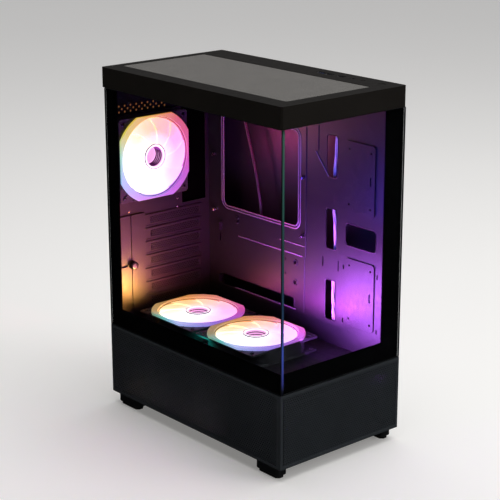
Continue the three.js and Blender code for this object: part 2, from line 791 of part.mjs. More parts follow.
// A fan lies in its own frame: its back on z = 0, its lit face up, its axis on z.
function makeFan(name, place) {
  const fan = new THREE.Group();
  const spin = new THREE.Group();
  fan.add(spin);
  place(fan);
  tower.add(fan);
  const half = fanSize / 2;
  const shelf = fanThick - fanEarDrop;
  const backPlate = 3;
  const bore = () => circle(0, 0, fanBore);
  const flat = (z0, z1, holes) => plate("z", -half, half, -half, half, z0, z1, holes, 4, 12);
  const back = flat(0, backPlate, [bore()]);
  const ear = flat(shelf - 4, shelf, [bore()]);
  const tube = sheet(
    "z",
    ringOutline(half - 0.2, half * 0.55, THREE.Shape),
    [bore()],
    backPlate - 0.5,
    shelf - 3.5,
    12,
  );
  const boss = rod("z", fanHub - 1, backPlate, 0, 0, 0, 16);
  const struts = [45, 135, 225, 315].map((angle) => {
    const bar = new THREE.BoxGeometry(fanBore - fanHub + 6, 4, backPlate);
    bar.translate((fanBore + fanHub) / 2, 0, backPlate / 2);
    bar.rotateZ((angle * Math.PI) / 180);
    return solidOf(bar);
  });
  const h = fanHoleSpacing / 2;
  const screwHoles = [-h, h].flatMap((x) => [-h, h].map((y) => rod("z", smallHole, shelf + 2, x, y, -1, 6)));
  addPiece(`${name}_frame`, cut(join([back, ear, tube, boss, ...struts]), screwHoles), blackPlastic(), fan);
  const ring = sheet(
    "z",
    ringOutline(half - 0.2, half * 0.5, THREE.Shape),
    [circle(0, 0, fanBore)],
    shelf + fit,
    fanThick,
    12,
  );
  addPiece(`${name}_light_ring`, ring, lightRing(), fan);
  // The rotor turns clear of the boss, the struts and the bore.
  const low = backPlate + 0.6;
  const high = fanThick - 1;
  const hub = rod("z", fanHub, high - low, 0, 0, low, 24);
  const tip = fanBore - fanTipGap;
  const chord = 26;
  const blades = [];
  for (let i = 0; i < fanBlades; i++) {
    const blade = new THREE.BoxGeometry(tip - fanHub + 1, chord, 1.6);
    blade.rotateX((bladeAngle * Math.PI) / 180);
    blade.translate((tip + fanHub - 1) / 2, 0, (low + high) / 2 + 0.5);
    blade.rotateZ((i * 2 * Math.PI) / fanBlades);
    blades.push(solidOf(blade));
  }
  const envelope = rod("z", tip, high - low, 0, 0, low, 36);
  const rotor = join([hub, ...blades]).intersect(envelope);
  addPiece(`${name}_rotor`, rotor, finish("milky_blades", 0xe9dfe6, 0.4, 0), spin);
}

function makeFans() {
  makeFan("rear_fan", (fan) => {
    fan.rotation.x = Math.PI / 2;
    fan.position.set(rearFan.x, fanBackY, rearFan.z);
  });
  for (const [row, y] of Object.entries(deckFans)) {
    makeFan(`deck_fan_${row}`, (fan) => fan.position.set(deckFanX, y, deckZ + fit));
  }
}

// ---------------------------------------------------------------- drive cage and its caddies

const cage = { x0: trayX - 165, x1: trayX - 4, y0: front + 13.5, y1: front + 127.5, bay: 37 };

function makeDriveCage() {
  const z0 = footHeight + steel + fit;
  const z1 = z0 + 2 * cage.bay + 2 * steel;
  const shell = box(cage.x0, cage.x1, cage.y0, cage.y1, z0, z1);
  const hollow = box(cage.x0 - 1, cage.x1 + 1, cage.y0 + steel, cage.y1 - steel, z0 + steel, z1 - steel);
  const middle = (z0 + z1) / 2;
  const runner = 5;
  const runners = [
    box(cage.x0, cage.x1, cage.y0 + 0.5, cage.y0 + steel + runner, middle - 0.5, middle + 0.5),
    box(cage.x0, cage.x1, cage.y1 - steel - runner, cage.y1 - 0.5, middle - 0.5, middle + 0.5),
  ];
  addPiece("drive_cage", join([shell.subtract(hollow), ...runners]), blackSteel());
  [z0 + steel, middle + 0.5].forEach((floor, i) => {
    const y0 = cage.y0 + steel + 1;
    const y1 = cage.y1 - steel - 1;
    const low = floor + fit;
    const caddy = join([
      box(cage.x0 + 4, cage.x1, y0, y1, low, low + 2),
      box(cage.x0 + 4, cage.x1, y0, y0 + 2, low, low + 24),
      box(cage.x0 + 4, cage.x1, y1 - 2, y1, low, low + 24),
      box(cage.x1 - 1, cage.x1 + 3, y0, y1, low, low + 31),
    ]);
    addPiece(`drive_caddy_${i ? "upper" : "lower"}`, caddy, blackPlastic());
  });
}

// ---------------------------------------------------------------- cables clipped behind the tray

function makeCable(name, points, radius, steps) {
  const route = new THREE.CatmullRomCurve3(points.map(([x, y, z]) => new THREE.Vector3(x, y, z)));
  const section = new THREE.Shape();
  section.absarc(0, 0, radius, 0, 2 * Math.PI, false);
  const tube = new THREE.ExtrudeGeometry(section, {
    steps,
    extrudePath: route,
    curveSegments: 4,
  });
  addPiece(name, solidOf(tube), cableSheath());
}

function makeCables() {
  const behind = trayX + steel + 6;
  makeCable(
    "socket_cable",
    [
      [ioX, cableHole.y, boardZ - fit],
      [ioX, cableHole.y, topZ - 10],
      [behind + 1, cableHole.y - 1, 400],
      [behind, cableHole.y + 2, 330],
      [behind, cableHole.y - 2, 270],
      [behind, cableHole.y + 1, 200],
      [behind, cableHole.y - 1, 150],
    ],
    3,
    36,
  );
  makeCable(
    "fan_cable",
    [
      [behind, 118, 452],
      [behind, 104, 400],
      [behind, 84, 340],
      [behind, 72, 290],
      [behind, 62, 230],
      [behind, 30, 190],
      [behind, -30, 172],
      [behind, -60, 160],
    ],
    2,
    40,
  );
}

// ---------------------------------------------------------------- the whole case

// Pieces that come off or move together share a group.
function movingGroup(make) {
  const group = new THREE.Group();
  tower.add(group);
  make(group);
}

makeFeet();
makeBase();
makeRearWall();
makeSlotCovers();
makeRetainer();
makeTray();
makeDrivePlates();
makeTopFrame();
makeShroud();
makePillar();
makePost();
makeLowerPanels();
makeBezel();
makeSocketBoard();
makeSockets();
makeFans();
makeDriveCage();
makeCables();
makeSupplyFilter();
movingGroup(makeLeftGlass);
movingGroup(makeFrontGlass);
movingGroup(makeRightPanel);
movingGroup(makeTopFilter);
for (const name of Object.keys(buttons)) movingGroup((group) => makeButton(name, group));

export default tower;
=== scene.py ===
"""A mid-tower computer case: two panes of glass that meet at a bare corner, perforated lower panels, a woven
top filter and three lit fans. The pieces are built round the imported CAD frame, in its own metres."""

import math

import bmesh
import bpy
from mathutils import Matrix, Vector
from mathutils.geometry import delaunay_2d_cdt


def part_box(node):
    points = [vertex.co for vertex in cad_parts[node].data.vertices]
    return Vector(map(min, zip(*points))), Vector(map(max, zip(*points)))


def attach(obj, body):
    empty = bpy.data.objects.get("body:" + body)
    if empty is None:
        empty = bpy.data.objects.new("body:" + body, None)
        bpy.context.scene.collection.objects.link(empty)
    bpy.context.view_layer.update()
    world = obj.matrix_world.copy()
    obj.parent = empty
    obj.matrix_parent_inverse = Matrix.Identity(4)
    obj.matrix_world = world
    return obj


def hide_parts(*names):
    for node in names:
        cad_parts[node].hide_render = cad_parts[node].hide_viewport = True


bl_info = {
    "name": "Glass Corner Computer Tower",
    "version": (1, 0, 0),
    "blender": (4, 5, 0),
    "location": "3D View > Sidebar > Tower",
    "description": "Builds a computer case with lit fans behind two panes of glass",
    "category": "Add Mesh",
}

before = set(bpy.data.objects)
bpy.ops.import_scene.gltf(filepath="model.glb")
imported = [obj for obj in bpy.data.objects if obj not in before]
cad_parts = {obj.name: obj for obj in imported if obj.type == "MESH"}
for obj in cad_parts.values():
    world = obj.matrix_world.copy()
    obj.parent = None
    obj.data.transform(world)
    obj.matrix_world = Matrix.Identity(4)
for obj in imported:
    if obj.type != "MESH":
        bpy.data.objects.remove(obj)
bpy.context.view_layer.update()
MM = 0.001

# ------------------------------------------------------------------ colours and sizes


def linear(code):
    """An sRGB hex colour as linear red, green, blue and alpha."""
    parts = [int(code[i : i + 2], 16) / 255 for i in (1, 3, 5)]
    return tuple(p / 12.92 if p <= 0.04045 else ((p + 0.055) / 1.055) ** 2.4 for p in parts) + (1.0,)


def colour(name, default, description):
    return bpy.props.FloatVectorProperty(
        name=name, description=description, subtype="COLOR", size=4, min=0, max=1, default=linear(default)
    )


def length(name, default, description):
    return bpy.props.FloatProperty(
        name=name, description=description, unit="LENGTH", min=0, precision=5, default=default * MM
    )


class TowerSizes(bpy.types.PropertyGroup):
    hole_pitch: length("Hole pitch", 3.5, "Distance between the holes of the lower panels")
    vent_pitch: length("Vent pitch", 3.2, "Distance between the holes of the slot covers")
    web_share: bpy.props.FloatProperty(
        name="Web share", description="Part of the pitch that is left as metal", subtype="FACTOR",
        min=0.1, max=0.9, default=0.38,
    )
    bezel_edge: length("Bezel edge", 1.0, "Rounding of the moulded bezel's edges")
    pane_edge: length("Pane edge", 0.5, "Ground chamfer round each pane")
    blade_count: bpy.props.IntProperty(name="Blades", description="Blades of each fan", min=3, max=15, default=9)
    weave_pitch: length("Weave pitch", 1.3, "Thread spacing of the top filter, coarser than the real 0.6 mm")


class TowerColours(bpy.types.PropertyGroup):
    steel: colour("Steel", "#17171a", "Powder coat of the steel")
    plastic: colour("Plastic", "#121417", "Moulded black plastic")
    filter_thread: colour("Filter thread", "#6b6762", "Nylon thread of the top filter")
    floor: colour("Floor", "#f1efec", "Plain floor")


class TowerLights(bpy.types.PropertyGroup):
    fan_power: bpy.props.FloatProperty(
        name="Fan light", description="Light that each quarter of a fan gives", subtype="POWER", min=0, default=0.55
    )
    studio_power: bpy.props.FloatProperty(
        name="Studio light", description="Power of the soft box", subtype="POWER", min=0, default=34
    )
    surround: bpy.props.FloatProperty(
        name="Surround", description="Brightness of the pale surroundings", min=0, default=0.6
    )


def sizes():
    return bpy.context.scene.tower_sizes


def colours():
    return bpy.context.scene.tower_colours


def lights():
    return bpy.context.scene.tower_lights


# ------------------------------------------------------------------ places taken from the frame


def span(node):
    """A node's lowest and highest corners in millimetres."""
    low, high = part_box(node)
    return Vector(low) / MM, Vector(high) / MM


TRAY_LOW, TRAY_HIGH = span("motherboard_tray")
DECK_TOP = span("supply_shroud")[1].z
WALL_LOW, WALL_HIGH = span("rear_panel")
FANS = {}
for fan_name in ("rear_fan", "deck_fan_rear", "deck_fan_front"):
    fan_low, fan_high = span(fan_name + "_frame")
    middle = (fan_low + fan_high) / 2
    ring_low, ring_high = span(fan_name + "_light_ring")
    if fan_name == "rear_fan":
        place = Matrix.Translation((middle.x, fan_high.y, middle.z)) @ Matrix.Rotation(math.pi / 2, 4, "X")
        thick = fan_high.y - ring_low.y
    else:
        place = Matrix.Translation((middle.x, middle.y, fan_low.z))
        thick = ring_high.z - fan_low.z
    FANS[fan_name] = {"place": place, "thick": thick, "half": (fan_high.x - fan_low.x) / 2}

# ------------------------------------------------------------------ nodes and materials


def add_node(tree, kind, inputs=(), **settings):
    """Add a node, set its properties, and set or link its inputs, which are named or numbered."""
    node = tree.nodes.new(kind)
    for key, value in settings.items():
        setattr(node, key, value)
    for key, value in dict(inputs).items():
        if isinstance(value, bpy.types.NodeSocket):
            tree.links.new(value, node.inputs[key])
        else:
            node.inputs[key].default_value = value
    return node


def finish_named(name):
    """The material of that name, made the first time that it is asked for."""
    found = bpy.data.materials.get(name)
    if found:
        return found
    made = bpy.data.materials.new(name)
    made.use_nodes = True
    made.node_tree.nodes.clear()
    surface = FINISHES[name](made.node_tree)
    add_node(made.node_tree, "ShaderNodeOutputMaterial", {"Surface": surface})
    return made


def object_place(tree):
    return add_node(tree, "ShaderNodeTexCoord").outputs["Object"]


def grain(tree, size_mm, detail=2.0, vector=None):
    """A noise value whose lumps are about size_mm across."""
    source = vector or object_place(tree)
    return add_node(
        tree, "ShaderNodeTexNoise", {"Vector": source, "Scale": 1 / (size_mm * MM), "Detail": detail}
    ).outputs["Fac"]


def stretched(tree, value, low, high):
    return add_node(
        tree, "ShaderNodeMapRange", {"Value": value, "From Min": 0.3, "From Max": 0.7, "To Min": low, "To Max": high}
    ).outputs["Result"]


def tinted(tree, amount, first, second):
    """A mix of two colours by amount."""
    mix = add_node(tree, "ShaderNodeMix", {0: amount, 6: first, 7: second}, data_type="RGBA")
    return mix.outputs[2]


def scaled(code, factor):
    return tuple(min(c * factor, 1.0) for c in tuple(code)[:3]) + (1.0,)


def bumped(tree, height, depth_mm, strength=1.0):
    return add_node(
        tree, "ShaderNodeBump", {"Height": height, "Distance": depth_mm * MM, "Strength": strength}
    ).outputs["Normal"]


def shader(tree, inputs):
    return add_node(tree, "ShaderNodeBsdfPrincipled", inputs).outputs["BSDF"]


def coated(tree, base, rough=(0.36, 0.5), peel_mm=0.9, depth_mm=0.05, specular=0.5):
    """A satin coating: fine orange peel, a little unevenness in colour and gloss."""
    peel = grain(tree, peel_mm, 3.0)
    cloud = grain(tree, 45)
    return shader(
        tree,
        {
            "Base Color": tinted(tree, cloud, scaled(base, 0.8), scaled(base, 1.2)),
            "Roughness": stretched(tree, grain(tree, 7, 4.0), *rough),
            "Specular IOR Level": specular,
            "Normal": bumped(tree, peel, depth_mm),
        },
    )


def powder_coated_steel(tree):
    # Sheet steel under satin black powder coat: a fine grain that sparkles a little under coloured light.
    return coated(tree, colours().steel, (0.36, 0.48), 0.8, 0.02, 0.35)


def bead_painted_highlight(tree):
    # The same coat painted much lighter and glossier on pressed beads and rims: a painted highlight where they catch
    # the light.
    return coated(tree, linear("#6c6470"), (0.2, 0.28), 2, 0.01, 0.8)


def panel_enamel(tree):
    # Punched steel with thin satin enamel: smoother and cooler than the inner steel.
    return coated(tree, linear("#2c3136"), (0.38, 0.5), 1.5, 0.03)


def moulded_abs(tree):
    # Black ABS from a spark-eroded mould: an even matt grain of about half a millimetre.
    return coated(tree, colours().plastic, (0.42, 0.52), 0.5, 0.05)


def bezel_abs_painted_light(tree):
    # The same ABS with a finer grain and a soft sheen.
    # Its colour is painted lighter and warmer than the other black ABS: painted light, standing for the light its
    # front face catches.
    return coated(tree, linear("#1e1b18"), (0.34, 0.42), 0.4, 0.02, 0.12)


def fan_nylon(tree):
    # Glass-filled black nylon: greyer than the ABS, with a waxy surface.
    return coated(tree, linear("#2b2b30"), (0.4, 0.55), 0.6, 0.05)


def black_rubber(tree):
    # Moulded rubber: matt, with dust in its pores.
    return coated(tree, linear("#151515"), (0.75, 0.9), 0.7, 0.08)


def black_frit(tree):
    # Ceramic enamel fired on the inside of the glass: deep black, and its gloss is the pane's own.
    return coated(tree, linear("#060607"), (0.8, 0.9), 3, 0.005, 0.0)


def black_zinc(tree):
    # Black zinc plate on machined steel, mottled darker and lighter.
    base = tinted(tree, grain(tree, 3, 4.0), linear("#1d1d20"), linear("#4a4a50"))
    return shader(
        tree,
        {
            "Base Color": base,
            "Metallic": 1.0,
            "Roughness": stretched(tree, grain(tree, 1.2), 0.22, 0.4),
            "Normal": bumped(tree, grain(tree, 0.6), 0.02),
        },
    )


def bright_steel(tree):
    # Nickel-plated spring steel of the sockets and rivets.
    base = tinted(tree, grain(tree, 4), linear("#8f8f94"), linear("#b9b9be"))
    return shader(
        tree, {"Base Color": base, "Metallic": 1.0, "Roughness": stretched(tree, grain(tree, 1.5), 0.18, 0.32)}
    )


def blue_tongue(tree):
    # The blue moulded tongue inside a fast socket.
    return coated(tree, linear("#2a62c8"), (0.3, 0.4), 0.6, 0.01)


def solder_mask(tree):
    # Green epoxy over copper: glossy, with the copper's tracks as faint ridges.
    tracks = add_node(
        tree,
        "ShaderNodeTexWave",
        {"Vector": object_place(tree), "Scale": 1 / (14 * MM), "Distortion": 1.5},
        bands_direction="Y",
    ).outputs["Fac"]
    base = tinted(tree, tracks, linear("#0d2a16"), linear("#163d22"))
    return shader(tree, {"Base Color": base, "Roughness": 0.25, "Normal": bumped(tree, tracks, 0.05)})


def woven_nylon(tree):
    # Plain-woven nylon: threads over and under, with darker pores. Real pitch 0.6 mm, drawn at twice that.
    place = object_place(tree)
    pitch = sizes().weave_pitch
    threads = [
        add_node(
            tree,
            "ShaderNodeTexWave",
            {"Vector": place, "Scale": 0.314 / pitch},
            bands_direction=axis,
        ).outputs["Fac"]
        for axis in "XY"
    ]
    weave = add_node(tree, "ShaderNodeMath", {0: threads[0], 1: threads[1]}, operation="MULTIPLY").outputs[0]
    base = colours().filter_thread
    cloth = tinted(tree, weave, scaled(base, 0.55), scaled(base, 1.45))
    dust = add_node(
        tree, "ShaderNodeMix", {0: stretched(tree, grain(tree, 30, 5.0), 0.0, 0.1), 6: cloth, 7: linear("#8d8780")},
        data_type="RGBA",
    ).outputs[2]
    return shader(
        tree,
        {"Base Color": dust, "Roughness": 0.85, "Sheen Weight": 0.15, "Normal": bumped(tree, weave, 0.25)},
    )


def clear_tempered_sheet(tree):
    # Thin, clear tempered sheet with an anti-glare coat: it lets the light of the fans out and reflects little.
    glass = shader(
        tree,
        {
            "Base Color": linear("#f6f9f8"),
            "Roughness": 0.0,
            "IOR": 1.14,
            "Transmission Weight": 1.0,
        },
    )
    clear = add_node(tree, "ShaderNodeBsdfTransparent", {"Color": linear("#f6f9f8")}).outputs["BSDF"]
    shadow = add_node(tree, "ShaderNodeLightPath").outputs["Is Shadow Ray"]
    return add_node(tree, "ShaderNodeMixShader", {0: shadow, 1: glass, 2: clear}).outputs["Shader"]


def glass_edge_painted_glow(tree):
    # The pane's ground edge with painted light: near the bare corner it glows green up high for daylight and violet
    # low down for the fans' light; elsewhere it is near black.
    z = add_node(tree, "ShaderNodeSeparateXYZ", {0: object_place(tree)}).outputs["Z"]
    low, high = span("left_glass")
    height = add_node(
        tree, "ShaderNodeMapRange", {"Value": z, "From Min": low.z * MM, "From Max": high.z * MM}
    ).outputs["Result"]
    ramp = add_node(tree, "ShaderNodeValToRGB", {"Fac": height})
    fill_ramp(ramp, ((0.0, "#05060c"), (0.02, "#0a0c1c"), (0.05, "#2a2f76"), (0.16, "#34479c"), (0.3, "#1d3553"),
                     (0.55, "#1b403f"), (0.98, "#2f5a4c"), (1.0, "#0c1614")))
    corner = Vector((high.x + 0.2, low.y, 0)) * MM
    aside = add_node(
        tree, "ShaderNodeVectorMath", {0: object_place(tree), 1: corner}, operation="SUBTRACT"
    ).outputs[0]
    flat = add_node(tree, "ShaderNodeVectorMath", {0: aside, 1: (1, 1, 0)}, operation="MULTIPLY").outputs[0]
    away = add_node(tree, "ShaderNodeVectorMath", {0: flat}, operation="LENGTH").outputs["Value"]
    near = add_node(
        tree,
        "ShaderNodeMapRange",
        {"Value": away, "From Min": 0.0016, "From Max": 0.0034, "To Min": 1.0, "To Max": 0.0},
    ).outputs["Result"]
    # Painted light: the glowing colours lie only on the edge near the bare corner.
    corner_painted_glow = tinted(tree, near, linear("#08090a"), ramp.outputs["Color"])
    return shader(
        tree,
        {
            "Base Color": corner_painted_glow,
            "Roughness": 0.35,
            "Specular IOR Level": 0.2,
            "Emission Color": corner_painted_glow,
            "Emission Strength": 0.4,
            "Normal": bumped(tree, grain(tree, 0.5), 0.03),
        },
    )


def fill_ramp(ramp, stops):
    elements = ramp.color_ramp.elements
    while len(elements) > 1:
        elements.remove(elements[-1])
    elements[0].position, elements[0].color = stops[0][0], linear(stops[0][1])
    for position, code in stops[1:]:
        elements.new(position).color = linear(code)


# Colours round a fan in turns from its right, seen from its lit side.
RING_STOPS = (
    (0.0, "#e0409c"),
    (0.07, "#d8486c"),
    (0.14, "#dc5648"),
    (0.2, "#f0913a"),
    (0.3, "#f6bf45"),
    (0.4, "#e8d84e"),
    (0.48, "#b9f0dc"),
    (0.58, "#9cc8ff"),
    (0.68, "#a894f4"),
    (0.8, "#8a55d8"),
    (0.9, "#9a3fc0"),
    (1.0, "#e0409c"),
)
BLADE_STOPS = (
    (0.0, "#f4a4f2"),
    (0.07, "#ff92b8"),
    (0.14, "#ff9a6a"),
    (0.22, "#ffa83e"),
    (0.3, "#ffc850"),
    (0.4, "#fff0a8"),
    (0.48, "#f2fffa"),
    (0.62, "#ffffff"),
    (0.75, "#fff6ff"),
    (0.88, "#e8b0ff"),
    (1.0, "#f4a4f2"),
)


DECK_RING_STOPS = (
    (0.0, "#d84fae"),
    (0.08, "#e0709c"),
    (0.18, "#ea8a78"),
    (0.3, "#d8923c"),
    (0.42, "#a8843a"),
    (0.52, "#8f8c5c"),
    (0.6, "#5cc8c0"),
    (0.68, "#b4c4ff"),
    (0.8, "#9070e8"),
    (0.9, "#b054d8"),
    (1.0, "#d84fae"),
)


DECK_BLADE_STOPS = (
    (0.0, "#ffb4f0"),
    (0.1, "#ffb8cc"),
    (0.2, "#ffc8a8"),
    (0.32, "#ffc070"),
    (0.45, "#ffe2a0"),
    (0.58, "#eaffff"),
    (0.7, "#ffffff"),
    (0.85, "#f2d0ff"),
    (1.0, "#ffb4f0"),
)


def fan_turn(tree, fan_name):
    """The angle round a fan's axis in turns, and the distance from it, for the point being shaded."""
    fan = FANS[fan_name]
    centre = fan["place"].translation * MM
    # The deck fans' colours are turned so that their magenta side faces the tray's front.
    tilt = math.radians(FAN_TILT[fan_name])
    turn = (-math.pi / 2, 0, 0) if fan_name == "rear_fan" else (0, 0, 0)
    shifted = add_node(
        tree, "ShaderNodeVectorMath", {0: object_place(tree), 1: centre}, operation="SUBTRACT"
    ).outputs[0]
    level = add_node(tree, "ShaderNodeVectorRotate", {"Vector": shifted, "Rotation": turn}, rotation_type="EULER_XYZ")
    spun = add_node(
        tree, "ShaderNodeVectorRotate", {"Vector": level.outputs[0], "Angle": tilt}, rotation_type="Z_AXIS"
    ).outputs[0]
    parts = add_node(tree, "ShaderNodeSeparateXYZ", {0: spun}).outputs
    angle = add_node(tree, "ShaderNodeMath", {0: parts["Y"], 1: parts["X"]}, operation="ARCTAN2").outputs[0]
    turns = add_node(
        tree, "ShaderNodeMath", {0: angle, 1: 1 / (2 * math.pi), 2: 1.0}, operation="MULTIPLY_ADD"
    ).outputs[0]
    wrapped = add_node(tree, "ShaderNodeMath", {0: turns, 1: 1.0}, operation="MODULO").outputs[0]
    flat = add_node(tree, "ShaderNodeCombineXYZ", {0: parts["X"], 1: parts["Y"]}).outputs[0]
    distance = add_node(tree, "ShaderNodeVectorMath", {0: flat}, operation="LENGTH").outputs["Value"]
    return wrapped, distance


FAN_TILT = {"rear_fan": 0, "deck_fan_rear": 41, "deck_fan_front": 41}


def lit_ring(fan_name):
    def build(tree):
        # Milky polycarbonate lit from inside: even, saturated colour that changes round the ring.
        turns, _ = fan_turn(tree, fan_name)
        ramp = add_node(tree, "ShaderNodeValToRGB", {"Fac": turns})
        fill_ramp(ramp, RING_STOPS if fan_name == "rear_fan" else DECK_RING_STOPS)
        return shader(
            tree,
            {
                "Base Color": linear("#8d868c"),
                "Roughness": 0.3,
                "Emission Color": ramp.outputs["Color"],
                "Emission Strength": 0.85,
                "Normal": bumped(tree, grain(tree, 2), 0.02),
            },
        )

    return build


def lit_blades(fan_name):
    def build(tree):
        # Translucent blades that glow from edge lights: nearly white, with fine streaks of flow.
        turns, distance = fan_turn(tree, fan_name)
        ramp = add_node(tree, "ShaderNodeValToRGB", {"Fac": turns})
        fill_ramp(ramp, BLADE_STOPS if fan_name == "rear_fan" else DECK_BLADE_STOPS)
        streak = add_node(
            tree, "ShaderNodeMath", {0: turns, 1: 2 * math.pi * 90}, operation="MULTIPLY"
        ).outputs[0]
        wave = add_node(tree, "ShaderNodeMath", {0: streak}, operation="SINE").outputs[0]
        fade = add_node(
            tree,
            "ShaderNodeMapRange",
            {"Value": wave, "From Min": -1.0, "From Max": 1.0, "To Min": 0.0, "To Max": 0.12},
        ).outputs["Result"]
        out = add_node(
            tree, "ShaderNodeMapRange", {"Value": distance, "From Min": 0.01, "From Max": 0.038}
        ).outputs["Result"]
        glow = tinted(tree, out, linear("#ffffff"), ramp.outputs["Color"])
        lit = tinted(tree, fade, glow, linear("#c890c8"))
        return shader(
            tree,
            {
                "Base Color": linear("#dcd6da"),
                "Roughness": 0.4,
                "Emission Color": lit,
                "Emission Strength": 1.15,
            },
        )

    return build


def hub_rim(tree):
    # The bright rim of the hub's window.
    return shader(tree, {"Base Color": linear("#f4eef4"), "Roughness": 0.25, "Emission Color": linear("#fff4fb"),
                         "Emission Strength": 1.0})


def hub_tunnel(tree):
    # A half-silvered window over a row of rings: pale pink between them.
    return shader(tree, {"Base Color": linear("#d8a0cc"), "Roughness": 0.12, "Emission Color": linear("#f4b8e8"),
                         "Emission Strength": 0.8})


def hub_rings(tree):
    # Smoked plastic rings, dark against the lit tunnel.
    return shader(tree, {"Base Color": linear("#4c1c4c"), "Roughness": 0.3, "Emission Color": linear("#6c2470"),
                         "Emission Strength": 0.2})


def cable_braid(tree):
    # Braided polyester sleeve: small diagonal cells of about a millimetre.
    place = object_place(tree)
    cells = add_node(
        tree, "ShaderNodeTexVoronoi", {"Vector": place, "Scale": 1 / (1.4 * MM)}
    ).outputs["Distance"]
    base = tinted(tree, cells, linear("#151214"), linear("#3c3639"))
    return shader(tree, {"Base Color": base, "Roughness": 0.6, "Normal": bumped(tree, cells, 0.3)})


def pale_strand(tree):
    # Soft PVC lead wire, light grey.
    return coated(tree, linear("#b9b2b8"), (0.35, 0.45), 1.2, 0.02)


def pale_floor(tree):
    # A plain pale floor, matt, with a trace of unevenness.
    base = colours().floor
    floor = shader(
        tree,
        {
            "Base Color": tinted(tree, grain(tree, 600), scaled(base, 0.97), scaled(base, 1.0)),
            "Roughness": 0.9,
            "Specular IOR Level": 0.1,
            "Emission Color": base,
            "Emission Strength": 0.24,
        },
    )
    # In mirrored rays it turns near black: a painted dark reflection of the floor in the case.
    mirrored = add_node(tree, "ShaderNodeLightPath").outputs["Glossy Depth"]
    dark = add_node(tree, "ShaderNodeBsdfDiffuse", {"Color": linear("#101010")}).outputs["BSDF"]
    return add_node(tree, "ShaderNodeMixShader", {0: mirrored, 1: floor, 2: dark}).outputs["Shader"]


def tan_glow_card(tree):
    # The same card in tan, glowing though it is no lamp: painted light behind the vents, so that the small holes in
    # front of it show.
    return black_shade_card(tree, "#a8683c", 0.5)


def black_shade_card(tree, card_colour="#020202", glow=0.0):
    # A matt card with a given colour and glow, seen from its front only: in black it is painted shade behind the rear
    # openings.
    painted_card = shader(tree, {"Base Color": linear(card_colour), "Roughness": 1.0, "Specular IOR Level": 0.0,
                         "Emission Color": linear(card_colour), "Emission Strength": glow})
    behind = add_node(tree, "ShaderNodeNewGeometry").outputs["Backfacing"]
    clear = add_node(tree, "ShaderNodeBsdfTransparent").outputs["BSDF"]
    return add_node(tree, "ShaderNodeMixShader", {0: behind, 1: painted_card, 2: clear}).outputs["Shader"]


FINISHES = {
    maker.__name__: maker
    for maker in (
        powder_coated_steel, bead_painted_highlight, panel_enamel, moulded_abs, bezel_abs_painted_light, fan_nylon, black_rubber, black_frit,
        black_zinc, bright_steel, blue_tongue, solder_mask, woven_nylon, clear_tempered_sheet, glass_edge_painted_glow,
        hub_rim, hub_tunnel, hub_rings, cable_braid, pale_strand, pale_floor, black_shade_card, tan_glow_card,
    )
}
for fan_name in FANS:
    FINISHES[fan_name + "_milky_ring"] = lit_ring(fan_name)
    FINISHES[fan_name + "_lit_blades"] = lit_blades(fan_name)

# ------------------------------------------------------------------ mesh helpers, all in millimetres


def rectangle(a0, a1, b0, b1, radius=0.0, steps=5):
    """A rectangle with round corners as a list of points, counter-clockwise."""
    if radius <= 0:
        return [(a0, b0), (a1, b0), (a1, b1), (a0, b1)]
    centres = ((a1 - radius, b0 + radius), (a1 - radius, b1 - radius), (a0 + radius, b1 - radius),
               (a0 + radius, b0 + radius))
    points = []
    for corner, (a, b) in enumerate(centres):
        for i in range(steps + 1):
            angle = math.pi / 2 * (corner - 1 + i / steps)
            points.append((a + radius * math.cos(angle), b + radius * math.sin(angle)))
    return points


def circle(a, b, radius, steps=24):
    return [
        (a + radius * math.cos(2 * math.pi * i / steps), b + radius * math.sin(2 * math.pi * i / steps))
        for i in range(steps)
    ]


def inside(point, loop):
    """Whether a point lies inside a loop, by the crossings of a ray along X."""
    odd = False
    for (xa, ya), (xb, yb) in zip(loop, [*loop[1:], loop[0]]):
        if (ya > point.y) != (yb > point.y) and point.x < xa + (xb - xa) * (point.y - ya) / (yb - ya):
            odd = not odd
    return odd


def prism(bm, outline, low, high, holes=(), slot=0):
    """A flat plate between low and high on Z, with an outline and holes given as points."""
    points, edges = [], []
    for loop in (outline, *holes):
        start = len(points)
        points += [Vector(p) for p in loop]
        edges += [(start + i, start + (i + 1) % len(loop)) for i in range(len(loop))]
    flat, _, faces = delaunay_2d_cdt(points, edges, [], 1, 1e-6)[:3]
    faces = [f for f in faces if not any(inside(sum((flat[i] for i in f), Vector((0, 0))) / 3, h) for h in holes)]
    floor = [bm.verts.new((*p, low)) for p in flat]
    roof = [bm.verts.new((*p, high)) for p in flat]
    made = []
    sides = {}
    for face in faces:
        made.append(bm.faces.new([roof[i] for i in face]))
        made.append(bm.faces.new([floor[i] for i in reversed(face)]))
        for i, a in enumerate(face):
            b = face[(i + 1) % len(face)]
            sides[(a, b)] = sides.get((a, b), 0) + 1
    for a, b in sides:
        if (b, a) not in sides:
            made.append(bm.faces.new([roof[a], floor[a], floor[b], roof[b]]))
    for face in made:
        face.material_index = slot
    return made


def block(bm, x0, x1, y0, y1, z0, z1, slot=0):
    """A box with four-sided faces that point outwards."""
    v = [bm.verts.new((x, y, z)) for z in (z0, z1) for y in (y0, y1) for x in (x0, x1)]
    corners = ((0, 2, 3, 1), (4, 5, 7, 6), (0, 1, 5, 4), (2, 6, 7, 3), (0, 4, 6, 2), (1, 3, 7, 5))
    made = [bm.faces.new([v[i] for i in face]) for face in corners]
    for face in made:
        face.material_index = slot
    return made


